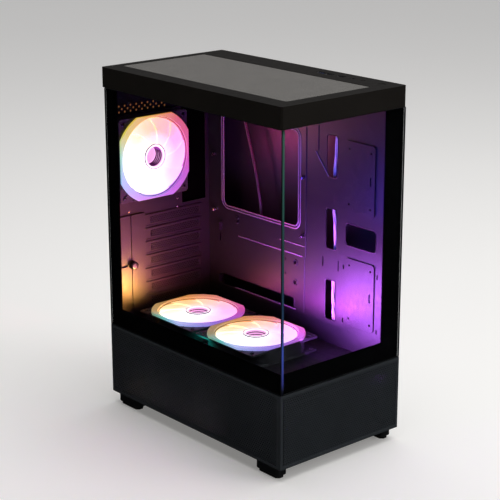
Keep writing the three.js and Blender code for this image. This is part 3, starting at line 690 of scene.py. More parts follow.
def lathe(bm, profile, steps=40, slot=0, closed=True):
    """Turn a profile of (radius, z) points round Z. A closed profile makes a ring, an open one ends on the axis."""
    rings = []
    for radius, z in profile:
        if radius < 1e-6:
            rings.append([bm.verts.new((0, 0, z))] * steps)
        else:
            rings.append([bm.verts.new((*p, z)) for p in circle(0, 0, radius, steps)])
    pairs = list(zip(rings, rings[1:]))
    if closed:
        pairs.append((rings[-1], rings[0]))
    made = []
    for first, second in pairs:
        for i in range(steps):
            j = (i + 1) % steps
            corners = list(dict.fromkeys((first[i], first[j], second[j], second[i])))
            if len(corners) > 2:
                made.append(bm.faces.new(corners))
    for face in made:
        face.material_index = slot
    bmesh.ops.recalc_face_normals(bm, faces=made)
    return made


def turned(bm, faces, matrix):
    """Move the points of some faces by a matrix."""
    verts = {v for f in faces for v in f.verts}
    bmesh.ops.transform(bm, matrix=matrix, verts=list(verts))


def into_scene(name, mesh):
    obj = bpy.data.objects.new(name, mesh)
    bpy.context.scene.collection.objects.link(obj)
    return obj


def evaluated_mesh(obj, name):
    """The object's mesh with its modifiers applied, as plain data. The object is removed."""
    bpy.context.view_layer.update()
    mesh = bpy.data.meshes.new_from_object(obj.evaluated_get(bpy.context.evaluated_depsgraph_get()))
    if obj.type == "MESH":
        obj.modifiers.clear()
    bpy.data.objects.remove(obj)
    mesh.name = name
    return mesh


def smooth(mesh, degrees=35):
    mesh.shade_smooth()
    mesh.set_sharp_from_angle(angle=math.radians(degrees))


def piece(name, shape, finishes, body="chassis", replaces=(), matrix=None, bevel=0.0, sharp=35):
    """Make a piece from a bmesh in millimetres or a mesh in metres, and tie it to the frame."""
    if isinstance(shape, bmesh.types.BMesh):
        mesh = bpy.data.meshes.new(name)
        full = Matrix.Scale(MM, 4) @ (matrix or Matrix())
        bmesh.ops.transform(shape, matrix=full, verts=shape.verts)
        shape.to_mesh(mesh)
        shape.free()
    else:
        mesh = shape
        mesh.materials.clear()
    for finish in finishes:
        mesh.materials.append(finish_named(finish))
    smooth(mesh, sharp)
    obj = into_scene(name, mesh)
    if bevel:
        soften(obj, bevel)
    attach(obj, body)
    if replaces:
        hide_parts(*replaces)
    return obj


def soften(obj, width_mm, segments=2):
    bevel = obj.modifiers.new("edges", "BEVEL")
    bevel.width = width_mm * MM
    bevel.segments = segments
    bevel.limit_method = "ANGLE"
    bevel.angle_limit = math.radians(40)
    bevel.harden_normals = True


def softened(node, finish, body, width_mm, segments=2):
    """A copy of a CAD node with rounded edges, which stands for it."""
    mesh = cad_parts[node].data.copy()
    bm = bmesh.new()
    bm.from_mesh(mesh)
    bmesh.ops.remove_doubles(bm, verts=bm.verts, dist=1e-6)
    bmesh.ops.dissolve_limit(bm, angle_limit=math.radians(1), verts=bm.verts, edges=bm.edges)
    bm.to_mesh(mesh)
    bm.free()
    for name in [a.name for a in mesh.attributes if a.name == "custom_normal"]:
        mesh.attributes.remove(mesh.attributes[name])
    mesh.name = node + "_piece"
    mesh.materials.clear()
    mesh.materials.append(finish_named(finish))
    smooth(mesh)
    obj = into_scene(node + "_piece", mesh)
    soften(obj, width_mm, segments)
    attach(obj, body)
    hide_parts(node)
    return obj


def tube_mesh(name, paths, radius_mm, cyclic=False, sides=4):
    """Round bars along paths of points in millimetres, as one mesh."""
    curve = bpy.data.curves.new(name, "CURVE")
    curve.dimensions = "3D"
    curve.bevel_depth = radius_mm * MM
    curve.bevel_resolution = sides
    curve.use_fill_caps = True
    for path in paths:
        spline = curve.splines.new("POLY")
        spline.points.add(len(path) - 1)
        for point, place in zip(spline.points, path):
            point.co = (*(Vector(place) * MM), 1)
        spline.use_cyclic_u = cyclic
    return evaluated_mesh(into_scene(name, curve), name)


def smooth_path(points, steps=8):
    """Catmull-Rom points through the given ones."""
    points = [Vector(p) for p in points]
    padded = [2 * points[0] - points[1], *points, 2 * points[-1] - points[-2]]
    path = []
    for a, b, c, d in zip(padded, padded[1:], padded[2:], padded[3:]):
        for i in range(steps):
            t = i / steps
            path.append(
                0.5 * (2 * b + (c - a) * t + (2 * a - 5 * b + 4 * c - d) * t * t + (3 * b - a - 3 * c + d) * t**3)
            )
    return [*path, points[-1]]


# ------------------------------------------------------------------ Geometry Nodes trees


def start_tree(name, inputs):
    """A new tree with a geometry input and named inputs of (label, socket type, default)."""
    tree = bpy.data.node_groups.new(name, "GeometryNodeTree")
    tree.interface.new_socket("Geometry", in_out="INPUT", socket_type="NodeSocketGeometry")
    for label, kind, default in inputs:
        socket = tree.interface.new_socket(label, in_out="INPUT", socket_type="NodeSocket" + kind)
        if default is not None:
            socket.default_value = default
    tree.interface.new_socket("Geometry", in_out="OUTPUT", socket_type="NodeSocketGeometry")
    return tree, add_node(tree, "NodeGroupInput").outputs


def end_tree(tree, geometry, material):
    real = add_node(tree, "GeometryNodeRealizeInstances", {"Geometry": geometry})
    coat = add_node(tree, "GeometryNodeSetMaterial", {"Geometry": real.outputs[0], "Material": material})
    add_node(tree, "NodeGroupOutput", {"Geometry": coat.outputs[0]})
    return tree


def punched_sheet_tree():
    """A staggered field of one cell, merged into a sheet, turned and moved to its place."""
    tree, given = start_tree(
        "punched_sheet",
        (("Cell", "Object", None), ("Columns", "Int", 10), ("Rows", "Int", 10), ("Pitch", "Float", 0.003),
         ("Place", "Vector", None), ("Turn", "Vector", None), ("Coat", "Material", None)),
    )
    row_step = add_node(
        tree, "ShaderNodeMath", {0: given["Pitch"], 1: math.sqrt(3) / 2}, operation="MULTIPLY"
    ).outputs[0]

    def reach(count, step):
        gaps = add_node(tree, "ShaderNodeMath", {0: count, 1: 1.0}, operation="SUBTRACT").outputs[0]
        return add_node(tree, "ShaderNodeMath", {0: gaps, 1: step}, operation="MULTIPLY").outputs[0]

    grid = add_node(
        tree,
        "GeometryNodeMeshGrid",
        {"Size X": reach(given["Columns"], given["Pitch"]), "Size Y": reach(given["Rows"], row_step),
         "Vertices X": given["Columns"], "Vertices Y": given["Rows"]},
    ).outputs["Mesh"]
    index = add_node(tree, "GeometryNodeInputIndex").outputs[0]
    row = add_node(tree, "ShaderNodeMath", {0: index, 1: given["Rows"]}, operation="MODULO").outputs[0]
    odd = add_node(tree, "ShaderNodeMath", {0: row, 1: 2.0}, operation="MODULO").outputs[0]
    half = add_node(tree, "ShaderNodeMath", {0: given["Pitch"], 1: 0.5}, operation="MULTIPLY").outputs[0]
    shift = add_node(tree, "ShaderNodeMath", {0: odd, 1: half}, operation="MULTIPLY").outputs[0]
    offset = add_node(tree, "ShaderNodeCombineXYZ", {0: shift}).outputs[0]
    points = add_node(tree, "GeometryNodeSetPosition", {"Geometry": grid, "Offset": offset}).outputs[0]
    cell = add_node(
        tree, "GeometryNodeObjectInfo", {"Object": given["Cell"], "As Instance": True}
    ).outputs["Geometry"]
    cells = add_node(tree, "GeometryNodeInstanceOnPoints", {"Points": points, "Instance": cell}).outputs[0]
    joined = add_node(tree, "GeometryNodeRealizeInstances", {"Geometry": cells}).outputs[0]
    merged = add_node(tree, "GeometryNodeMergeByDistance", {"Geometry": joined, "Distance": 1e-5}).outputs[0]
    moved = add_node(
        tree,
        "GeometryNodeTransform",
        {"Geometry": merged, "Translation": given["Place"], "Rotation": given["Turn"]},
    ).outputs[0]
    return end_tree(tree, moved, given["Coat"])


def set_pieces_tree():
    """A copy of one piece on each point, turned to the point's own direction."""
    tree, given = start_tree("set_pieces", (("Piece", "Object", None), ("Coat", "Material", None)))
    facing = add_node(
        tree, "GeometryNodeInputNamedAttribute", {"Name": "facing"}, data_type="FLOAT_VECTOR"
    ).outputs["Attribute"]
    turn = add_node(tree, "FunctionNodeAlignRotationToVector", {"Vector": facing}, axis="Z").outputs[0]
    part = add_node(
        tree, "GeometryNodeObjectInfo", {"Object": given["Piece"], "As Instance": True}
    ).outputs["Geometry"]
    copies = add_node(
        tree, "GeometryNodeInstanceOnPoints", {"Points": given["Geometry"], "Instance": part, "Rotation": turn}
    ).outputs[0]
    return end_tree(tree, copies, given["Coat"])


def turned_copies_tree():
    """Copies of one piece turned evenly round Z, such as fan blades or knurls."""
    tree, given = start_tree(
        "turned_copies", (("Piece", "Object", None), ("Count", "Int", 9), ("Coat", "Material", None))
    )
    points = add_node(
        tree, "GeometryNodeMeshLine", {"Count": given["Count"], "Offset": (0.0, 0.0, 0.0)}, mode="OFFSET"
    ).outputs[0]
    index = add_node(tree, "GeometryNodeInputIndex").outputs[0]
    share = add_node(tree, "ShaderNodeMath", {0: index, 1: given["Count"]}, operation="DIVIDE").outputs[0]
    angle = add_node(tree, "ShaderNodeMath", {0: share, 1: 2 * math.pi}, operation="MULTIPLY").outputs[0]
    turn = add_node(tree, "ShaderNodeCombineXYZ", {2: angle}).outputs[0]
    part = add_node(
        tree, "GeometryNodeObjectInfo", {"Object": given["Piece"], "As Instance": True}
    ).outputs["Geometry"]
    copies = add_node(
        tree, "GeometryNodeInstanceOnPoints", {"Points": points, "Instance": part, "Rotation": turn}
    ).outputs[0]
    return end_tree(tree, copies, given["Coat"])


TREES = {
    "punched_sheet": punched_sheet_tree,
    "set_pieces": set_pieces_tree,
    "turned_copies": turned_copies_tree,
}


def grown(name, tree_name, values, base=None, thick_mm=0.0):
    """Run a tree, thicken its sheet if asked, and give back a plain mesh."""
    tree = bpy.data.node_groups.get(tree_name) or TREES[tree_name]()
    holder = into_scene(name + "_holder", base or bpy.data.meshes.new(name))
    modifier = holder.modifiers.new("nodes", "NODES")
    modifier.node_group = tree
    for item in tree.interface.items_tree:
        if item.item_type == "SOCKET" and item.in_out == "INPUT" and item.name in values:
            modifier[item.identifier] = values[item.name]
    if thick_mm:
        wall = holder.modifiers.new("wall", "SOLIDIFY")
        wall.thickness = thick_mm * MM
        wall.offset = -1
    return evaluated_mesh(holder, name)


def part_object(name, bm):
    """A small shape in millimetres for a tree to copy. It isn't shown, and is removed after use."""
    mesh = bpy.data.meshes.new(name)
    bmesh.ops.transform(bm, matrix=Matrix.Scale(MM, 4), verts=bm.verts)
    bm.to_mesh(mesh)
    bm.free()
    return into_scene(name, mesh)


def hex_cell(pitch_mm, web_share):
    """One hexagon of sheet with a six-sided hole."""
    bm = bmesh.new()
    outer = pitch_mm / math.sqrt(3)
    corners = [(math.sin(i * math.pi / 3), math.cos(i * math.pi / 3)) for i in range(6)]
    rim = [bm.verts.new((outer * x, outer * y, 0)) for x, y in corners]
    mouth = [bm.verts.new((outer * (1 - web_share) * x, outer * (1 - web_share) * y, 0)) for x, y in corners]
    for i in range(6):
        j = (i + 1) % 6
        bm.faces.new((rim[j], rim[i], mouth[i], mouth[j]))
    bm.normal_update()
    bmesh.ops.recalc_face_normals(bm, faces=bm.faces)
    if sum(f.normal.z for f in bm.faces) < 0:
        bmesh.ops.reverse_faces(bm, faces=bm.faces)
    return part_object("hex_cell", bm)


def punched(name, width, height, pitch, place, turn, finish, thick_mm):
    """A punched sheet of width by height millimetres round a place."""
    cell = hex_cell(pitch, sizes().web_share)
    columns = int((width - pitch) / pitch)
    rows = int(height / (pitch * math.sqrt(3) / 2))
    mesh = grown(
        name,
        "punched_sheet",
        {"Cell": cell, "Columns": columns, "Rows": rows, "Pitch": pitch * MM, "Place": tuple(p * MM for p in place),
         "Turn": turn, "Coat": finish_named(finish)},
        thick_mm=thick_mm,
    )
    bpy.data.objects.remove(cell)
    return mesh


def screw_head(radius=3.0, height=1.9):
    """A pan head with a cross recess."""
    bm = bmesh.new()
    lathe(
        bm,
        ((0, height), (radius * 0.55, height), (radius * 0.85, height * 0.75), (radius, height * 0.3), (radius, 0),
         (0, 0)),
        14,
        closed=False,
    )
    for angle in (0, math.pi / 2):
        slot = block(bm, -radius * 0.62, radius * 0.62, -radius * 0.13, radius * 0.13, height * 0.6, height + 0.02)
        turned(bm, slot, Matrix.Rotation(angle, 4, "Z"))
    return part_object("screw_head", bm)


def set_on(name, part, places, finish):
    """Copies of a part at places of (x, y, z, direction)."""
    mesh = bpy.data.meshes.new(name + "_points")
    mesh.from_pydata([Vector(p[:3]) * MM for p in places], [], [])
    facing = mesh.attributes.new("facing", "FLOAT_VECTOR", "POINT")
    for item, place in zip(facing.data, places):
        item.vector = place[3]
    made = grown(name, "set_pieces", {"Piece": part, "Coat": finish_named(finish)}, base=mesh)
    bpy.data.objects.remove(part)
    return made


# ------------------------------------------------------------------ operators, one for each piece or group


class TowerOperator:
    bl_options = {"REGISTER", "UNDO"}


class TOWER_OT_stage(TowerOperator, bpy.types.Operator):
    """Floor, soft light, black cards that darken the side pane's reflection and paint shade into the rear openings, a
    glowing tan card that paints light behind the vents, and the camera
    """

    bl_idname = "tower.stage"
    bl_label = "Stage"

    def execute(self, context):
        scene = context.scene
        scene.view_settings.view_transform = "Standard"
        mesh = bpy.data.meshes.new("floor")
        reach = 14
        mesh.from_pydata([(-reach, -reach, 0), (reach, -reach, 0), (reach, reach, 0), (-reach, reach, 0)], [],
                         [(0, 1, 2, 3)])
        mesh.materials.append(finish_named("pale_floor"))
        into_scene("floor", mesh)
        # One card is mirrored in the side pane. The others are painted shade: black cards behind the case's rear
        # openings, seen from the front where there is only shade, and a glowing tan card that paints light behind the
        # vents; nothing is seen of them from the rear.
        self.card("card_side", (-0.42, 0.02), (-0.42, 0.75), 0.001, 0.55, ("camera", "transmission"))
        self.card("card_wall", (-0.1, 0.184), (0.1, 0.184), 0.013, 0.418, ("glossy",))
        self.card("card_socket", (0.02, 0.184), (0.1, 0.184), 0.418, 0.455, ("glossy",))
        self.card("card_vents", (-0.1, 0.184), (0.02, 0.184), 0.418, 0.455, ("glossy",), "tan_glow_card")
        world = bpy.data.worlds.new("surround")
        world.use_nodes = True
        world.node_tree.nodes.clear()
        self.surround(world.node_tree)
        scene.world = world
        self.softbox("softbox_top", (0.3, -0.2, 2.4), (0, 0, 0.2), 2.2, lights().studio_power)
        self.softbox("softbox_front", (1.6, -2.4, 1.5), (0, 0, 0.25), 1.4, lights().studio_power * 0.35)
        self.camera(scene)
        return {"FINISHED"}

    def surround(self, tree):
        """Soft light from all round, dimmer on the left and in mirrored rays, with an even pale background."""
        way = add_node(tree, "ShaderNodeTexCoord").outputs["Generated"]
        x = add_node(tree, "ShaderNodeSeparateXYZ", {0: way}).outputs["X"]
        power = lights().surround
        dimmed = add_node(
            tree, "ShaderNodeMapRange",
            {"Value": x, "From Min": -0.45, "From Max": 0.35, "To Min": power * 0.03, "To Max": power},
        ).outputs["Result"]
        seen = add_node(tree, "ShaderNodeLightPath").outputs["Is Camera Ray"]
        mirrored = add_node(tree, "ShaderNodeLightPath").outputs["Glossy Depth"]
        softer = add_node(tree, "ShaderNodeMix", {0: mirrored, 2: dimmed, 3: 0.1}, data_type="FLOAT").outputs[0]
        strength = add_node(tree, "ShaderNodeMix", {0: seen, 2: softer, 3: 0.95}, data_type="FLOAT").outputs[0]
        glow = add_node(tree, "ShaderNodeBackground", {"Color": linear("#f4f6fa"), "Strength": strength}).outputs[0]
        add_node(tree, "ShaderNodeOutputWorld", {"Surface": glow})

    def card(self, name, start, end, low, top, unseen_by, finish="black_shade_card"):
        """An upright card that casts no shadow and is unseen by some kinds of ray."""
        mesh = bpy.data.meshes.new(name)
        mesh.from_pydata([(*start, low), (*end, low), (*end, top), (*start, top)], [], [(0, 1, 2, 3)])
        mesh.materials.append(finish_named(finish))
        painted_card = into_scene(name, mesh)
        for ray in ("shadow", "diffuse", *unseen_by):
            setattr(painted_card, "visible_" + ray, False)

    def softbox(self, name, place, aim, size, power):
        light = bpy.data.lights.new(name, "AREA")
        light.size, light.energy = size, power
        obj = into_scene(name, light)
        obj.location = place
        obj.rotation_euler = (Vector(aim) - Vector(place)).to_track_quat("-Z", "Y").to_euler()

    def camera(self, scene):
        camera = bpy.data.cameras.new("camera")
        camera.lens, camera.sensor_width = 108.87, 36
        obj = into_scene("camera", camera)
        azimuth, elevation, roll = (math.radians(a) for a in (-40.81, 16.89, -0.108))
        back = Vector((math.sin(azimuth) * math.cos(elevation), -math.cos(azimuth) * math.cos(elevation),
                       math.sin(elevation)))
        right = Vector((math.cos(azimuth), math.sin(azimuth), 0))
        up = back.cross(right)
        turn = Matrix((right, up, back)).transposed().to_4x4() @ Matrix.Rotation(roll, 4, "Z")
        obj.matrix_world = Matrix.Translation((-1.300, -1.507, 0.855)) @ turn
        scene.camera = obj


class TOWER_OT_steel(TowerOperator, bpy.types.Operator):
    """Finishes of the CAD pieces whose shape is already right"""

    bl_idname = "tower.steel"
    bl_label = "Steelwork"

    coats = {
        "powder_coated_steel": (
            "base_pan", "rear_panel", "motherboard_tray", "top_frame", "supply_shroud", "front_pillar", "front_post",
            "drive_cage",
        ),
        "moulded_abs": ("supply_filter", "drive_caddy_lower", "drive_caddy_upper"),
        "black_rubber": ("top_filter_frame",),
        "solder_mask": ("socket_board",),
    }

    def execute(self, context):
        for finish, nodes in self.coats.items():
            for node in nodes:
                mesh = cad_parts[node].data
                mesh.materials.clear()
                mesh.materials.append(finish_named(finish))
        return {"FINISHED"}


class TOWER_OT_shell(TowerOperator, bpy.types.Operator):
    """Bezel, feet, side panel and thumbscrews with rounded edges"""

    bl_idname = "tower.shell"
    bl_label = "Shell"

    def execute(self, context):
        softened("top_bezel", "bezel_abs_painted_light", "chassis", sizes().bezel_edge / MM, 3)
        for row in ("front", "rear"):
            for side in ("left", "right"):
                softened(f"foot_{row}_{side}", "moulded_abs", "chassis", 1.2)
                softened(f"foot_pad_{row}_{side}", "black_rubber", "chassis", 0.6)
        softened("right_panel", "powder_coated_steel", "right_panel", 0.2)
        self.thumbscrews()
        return {"FINISHED"}

    def thumbscrews(self):
        """Knurled heads, turned along Y."""
        for node, body, outward in (
            ("panel_thumbscrew_lower", "right_panel", 1),
            ("panel_thumbscrew_upper", "right_panel", 1),
            ("retainer_thumbscrew", "chassis", -1),
        ):
            low, high = span(node)
            x, z = (low.x + high.x) / 2, (low.z + high.z) / 2
            radius = (high.x - low.x) / 2
            deep = high.y - low.y
            head = deep - 8 if outward > 0 else 8
            bm = bmesh.new()
            lathe(bm, ((0, -deep), (1.7, -deep), (1.7, -head), (radius - 0.5, -head), (radius - 0.35, -head + 0.5),
                       (radius - 0.35, -0.9), (radius - 1.2, -0.25), (radius * 0.5, 0), (0, 0)), 36, closed=False)
            tooth = bmesh.new()
            prism(tooth, [(radius - 0.6, -0.22), (radius - 0.02, -0.05), (radius - 0.02, 0.05), (radius - 0.6, 0.22)],
                  -head + 0.5, -0.9)
            part = part_object("tooth", tooth)
            knurl = grown(node + "_knurl", "turned_copies",
                          {"Piece": part, "Count": 36, "Coat": finish_named("black_zinc")})
            bpy.data.objects.remove(part)
            bmesh.ops.transform(bm, matrix=Matrix.Scale(MM, 4), verts=bm.verts)
            bm.from_mesh(knurl)
            for face in bm.faces:
                face.material_index = 0
            bmesh.ops.transform(bm, matrix=Matrix.Scale(1 / MM, 4), verts=bm.verts)
            tip = high.y if outward > 0 else low.y
            place = Matrix.Translation((x, tip, z)) @ Matrix.Rotation(-outward * math.pi / 2, 4, "X")
            piece(node + "_head", bm, ("black_zinc",), body, (node,), place)


class TOWER_OT_glass(TowerOperator, bpy.types.Operator):
    """The two panes with ground edges, and the black bands behind them"""

    bl_idname = "tower.glass"
    bl_label = "Glass"

    band = 27.0
    band_thick = 1.5

    def execute(self, context):
        for side, axis in (("left", 0), ("front", 1)):
            node = side + "_glass"
            low, high = span(node)
            bm = bmesh.new()
            block(bm, low.x, high.x, low.y, high.y, low.z, high.z)
            bmesh.ops.bevel(bm, geom=list(bm.edges), offset=sizes().pane_edge / MM, segments=1, affect="EDGES")
            bm.normal_update()
            for face in bm.faces:
                face.material_index = 0 if abs(face.normal[axis]) > 0.99 else 1
            finishes = ("clear_tempered_sheet", "glass_edge_painted_glow")
            piece(node + "_pane", bm, finishes, node, (node,), sharp=20)
            self.bands(side, node)
        return {"FINISHED"}

    def bands(self, side, node):
        """The black bands that hide the steel behind the bottom and the far upright of a pane, with their studs."""
        strip = side + "_glass_strip"
        pane_high = span(node)[1]
        low, high = span(strip)
        if side == "left":
            start, end = low.y, high.y
            inner, stud_place = end - 24, end - 10
            place = Matrix.Translation((low.x, 0, 0)) @ Matrix(((0, 0, 1), (1, 0, 0), (0, 1, 0))).to_4x4()
        else:
            start, end = low.x, pane_high.x - 0.3
            inner, stud_place = pane_high.x - 32, pane_high.x - 16
            place = Matrix.Translation((0, low.y, 0)) @ Matrix(((1, 0, 0), (0, 0, 1), (0, 1, 0))).to_4x4()
        shelf = low.z + self.band
        outline = [(start, low.z), (end, low.z), (end, high.z), (inner, high.z), (inner, shelf), (start, shelf)]
        bm = bmesh.new()
        # A hair behind the pane, so that the two faces don't lie in one plane.
        prism(bm, outline, 0.06, self.band_thick)
        for z in (low.z + 45, 420):
            stud = lathe(bm, ((0, 0.5), (3, 0.5), (3, 5.2), (2.2, 6), (0, 6)), 20, closed=False)
            turned(bm, stud, Matrix.Translation((stud_place, z, 0)))
        bmesh.ops.transform(bm, matrix=place, verts=bm.verts)
        bmesh.ops.recalc_face_normals(bm, faces=bm.faces)
        piece(side + "_bands", bm, ("black_frit",), node, (strip,), bevel=0.15)


class TOWER_OT_lower_panels(TowerOperator, bpy.types.Operator):
    """Punched lower panels with a folded border"""

    bl_idname = "tower.lower_panels"
    bl_label = "Lower panels"

    border = 4.5
    sheet = 1.0

    def execute(self, context):
        pitch = sizes().hole_pitch / MM
        for side in ("left", "front"):
            node = side + "_mesh_panel"
            low, high = span(node)
            centre = (low + high) / 2
            tall = high.z - low.z
            if side == "left":
                wide = high.y - low.y
                turn = (math.pi / 2, 0, -math.pi / 2)
                place = (low.x + 0.6, centre.y, centre.z)
                frame_place = Matrix.Translation((low.x, centre.y, centre.z)) @ Matrix.Rotation(
                    -math.pi / 2, 4, "Z"
                ) @ Matrix.Rotation(math.pi / 2, 4, "X")
            else:
                wide = high.x - low.x
                turn = (math.pi / 2, 0, 0)
                place = (centre.x, low.y + 0.6, centre.z)
                frame_place = Matrix.Translation((centre.x, low.y, centre.z)) @ Matrix.Rotation(math.pi / 2, 4, "X")
            inner = self.border
            bm = bmesh.new()
            prism(bm, rectangle(-wide / 2, wide / 2, -tall / 2, tall / 2), -3, 0,
                  [rectangle(-wide / 2 + inner, wide / 2 - inner, -tall / 2 + inner, tall / 2 - inner, 1.5, 3)])
            piece(side + "_panel_border", bm, ("panel_enamel",), "chassis", (node,), frame_place, 0.4)
            mesh = punched(side + "_panel_mesh", wide - inner, tall - inner, pitch, place, turn, "panel_enamel",
                           self.sheet)
            piece(side + "_panel_mesh", mesh, ("panel_enamel",), "chassis")
        return {"FINISHED"}


class TOWER_OT_top(TowerOperator, bpy.types.Operator):
    """Top filter, sockets and buttons"""

    bl_idname = "tower.top"
    bl_label = "Top"

    def execute(self, context):
        softened("top_filter_mesh", "woven_nylon", "top_filter", 0.25)
        softened("power_button", "bezel_abs_painted_light", "power_button", 0.5, 3)
        softened("light_button", "bezel_abs_painted_light", "light_button", 0.4, 3)
        softened("usb_3_socket", "bright_steel", "chassis", 0.15)
        softened("usb_socket_1", "bright_steel", "chassis", 0.15)
        softened("usb_socket_2", "bright_steel", "chassis", 0.15)
        softened("audio_jack", "moulded_abs", "chassis", 0.15)
        for node, finish in (("usb_3_socket", "blue_tongue"), ("usb_socket_1", "moulded_abs"),
                             ("usb_socket_2", "moulded_abs")):
            low, high = span(node)
            x, y = (low.x + high.x) / 2, (low.y + high.y) / 2
            bm = bmesh.new()
            block(bm, x - 2.1, x - 0.3, y - 5.6, y + 5.6, high.z - 11.9, high.z - 1.2)
            for step in (-3.9, -1.3, 1.3, 3.9):
                block(bm, x - 0.3, x - 0.12, y + step - 0.5, y + step + 0.5, high.z - 9, high.z - 1.8, 1)
            piece(node + "_tongue", bm, (finish, "bright_steel"), "chassis")
        low, high = span("audio_jack")
        bm = bmesh.new()
        lathe(bm, ((1.85, 0.3), (2.7, 0.3), (2.9, 0.1), (2.9, -0.2), (1.85, -0.2)), 28)
        piece("audio_jack_ring", bm, ("bright_steel",), "chassis",
              matrix=Matrix.Translation(((low.x + high.x) / 2, (low.y + high.y) / 2, high.z)))
        return {"FINISHED"}


def ring_outline(half, radius, steps=8):
    """A square whose corners are cut by a circle."""
    flat = math.acos(half / radius)
    points = []
    for quarter in range(4):
        start = quarter * math.pi / 2 + flat
        end = (quarter + 1) * math.pi / 2 - flat
        for i in range(steps + 1):
            angle = start + (end - start) * i / steps
            points.append((radius * math.cos(angle), radius * math.sin(angle)))
    return points


class TOWER_OT_fans(TowerOperator, bpy.types.Operator):
    """Three fans: nylon frame, milky light ring, and a rotor of glowing blades round a lit hub"""

    bl_idname = "tower.fans"
    bl_label = "Fans"

    bore = 57.0
    clip = 67.0
    hub = 18.0
    shelf = 22.0
    screw_inset = 52.5

    def execute(self, context):
        for name, fan in FANS.items():
            self.frame_piece(name, fan)
            self.ring_piece(name, fan)
            self.rotor_piece(name, fan)
            self.lamps(name, fan)
        for name, spot, aim, size, spread, code, power in SIDE_LIGHTS:
            place = Vector(spot)
            lamp = self.lamp("side_light_" + name, place, Vector(aim) - place, size, code, power)
            lamp.data.spread = math.radians(spread)
        return {"FINISHED"}

    def frame_piece(self, name, fan):
        half = fan["half"]
        hole = circle(0, 0, self.bore, 64)
        inset = self.screw_inset
        screws = [circle(x, y, 2.2, 12) for x in (-inset, inset) for y in (-inset, inset)]
        bm = bmesh.new()
        plate = rectangle(-half, half, -half, half, 4)
        prism(bm, plate, 0, 3.2, [hole, *screws])
        prism(bm, plate, self.shelf - 2.6, self.shelf, [hole, *screws])
        prism(bm, ring_outline(half - 0.4, self.clip - 1.4), 3.2, self.shelf - 2.6, [hole])
        # Ribs that stiffen each corner ear, in a fan of three.
        for corner in range(4):
            for angle, far in ((45, 79), (33, 71), (57, 71)):
                rib = block(bm, 64, far, -0.6, 0.6, self.shelf, self.shelf + 1.1)
                turned(bm, rib, Matrix.Rotation(math.radians(angle + 90 * corner), 4, "Z"))
        for angle in (20, 110, 200, 290):
            strut = prism(bm, [(16, -2.2), (36, -4.2), (60, -2.4), (60, 2.4), (36, 0.6), (16, 2.2)], 0.1, 3.1)
            turned(bm, strut, Matrix.Rotation(math.radians(angle), 4, "Z"))
        lathe(bm, ((0, 0), (17, 0), (17, 2.6), (16.2, 3.1), (0, 3.1)), 40, closed=False)
        piece(name + "_nylon_frame", bm, ("fan_nylon",), "chassis", (name + "_frame",), fan["place"],
              0.3)
        head = screw_head(2.7, 1.4)
        direction = fan["place"].to_3x3() @ Vector((0, 0, 1))
        places = [
            (*(fan["place"] @ Vector((x, y, self.shelf))), direction)
            for x in (-inset, inset)
            for y in (-inset, inset)
        ]
        mesh = set_on(name + "_screws", head, places, "black_zinc")
        piece(name + "_screws", mesh, ("black_zinc",), "chassis")

    def ring_piece(self, name, fan):
        half = fan["half"] - 0.2
        top = fan["thick"]
        bm = bmesh.new()
        prism(bm, ring_outline(half, self.clip), self.shelf + 0.3, top, [circle(0, 0, self.bore + 0.2, 64)])
        piece(name + "_ring", bm, (name + "_milky_ring",), "chassis", (name + "_light_ring",),
              fan["place"], 1.0)
        # The light guide runs down the bore as a thin wall.
        wall = bmesh.new()
        lathe(wall, ((56.3, 12), (56.9, 12), (56.9, self.shelf + 0.2), (56.3, self.shelf + 0.2)), 64)
        piece(name + "_guide", wall, (name + "_milky_ring",), "chassis", matrix=fan["place"])

    def blade(self, low, high):
        """One swept blade: it turns and twists as it goes out, and is thin at its edges."""
        bm = bmesh.new()
        across, along = 10, 9
        inner, outer = self.hub - 0.6, self.bore - 1.6
        rows = []
        for side in (1, -1):
            grid = []
            for i in range(along + 1):
                share = i / along
                radius = inner + (outer - inner) * share
                sweep = math.radians(26) * share**1.4
                wide = math.radians(66 - 4 * share)
                rise = (high - low) * (0.14 + 0.1 * share)
                row = []
                for j in range(across + 1):
                    t = j / across - 0.5
                    angle = sweep + wide * t
                    z = high - 1.5 + rise * (t - 0.5 + 0.1 * math.sin(math.pi * (t + 0.5)))
                    z += side * 0.75 * math.sqrt(max(0.02, 1 - (2 * t) ** 2))
                    row.append(bm.verts.new((radius * math.cos(angle), radius * math.sin(angle), z)))
                grid.append(row)
            rows.append(grid)
        top, under = rows
        for i in range(along):
            for j in range(across):
                bm.faces.new((top[i][j], top[i + 1][j], top[i + 1][j + 1], top[i][j + 1]))
                bm.faces.new((under[i][j], under[i][j + 1], under[i + 1][j + 1], under[i + 1][j]))
        for i in range(along):
            bm.faces.new((top[i][0], under[i][0], under[i + 1][0], top[i + 1][0]))
            bm.faces.new((top[i][-1], top[i + 1][-1], under[i + 1][-1], under[i][-1]))
        for j in range(across):
            bm.faces.new((top[0][j], top[0][j + 1], under[0][j + 1], under[0][j]))
            bm.faces.new((top[-1][j], under[-1][j], under[-1][j + 1], top[-1][j + 1]))
        bmesh.ops.recalc_face_normals(bm, faces=bm.faces)
        return part_object("blade", bm)

    def rotor_piece(self, name, fan):
        top = fan["thick"] - 1
        low = 4.0
        part = self.blade(low + 1, top - 1)
        blades = grown(
            name + "_blades",
            "turned_copies",
            {"Piece": part, "Count": sizes().blade_count, "Coat": finish_named(name + "_lit_blades")},
        )
        bpy.data.objects.remove(part)
        bm = bmesh.new()
        bm.from_mesh(blades)
        bmesh.ops.transform(bm, matrix=Matrix.Scale(1 / MM, 4), verts=bm.verts)
        for face in bm.faces:
            face.material_index = 0
        window = 15.0
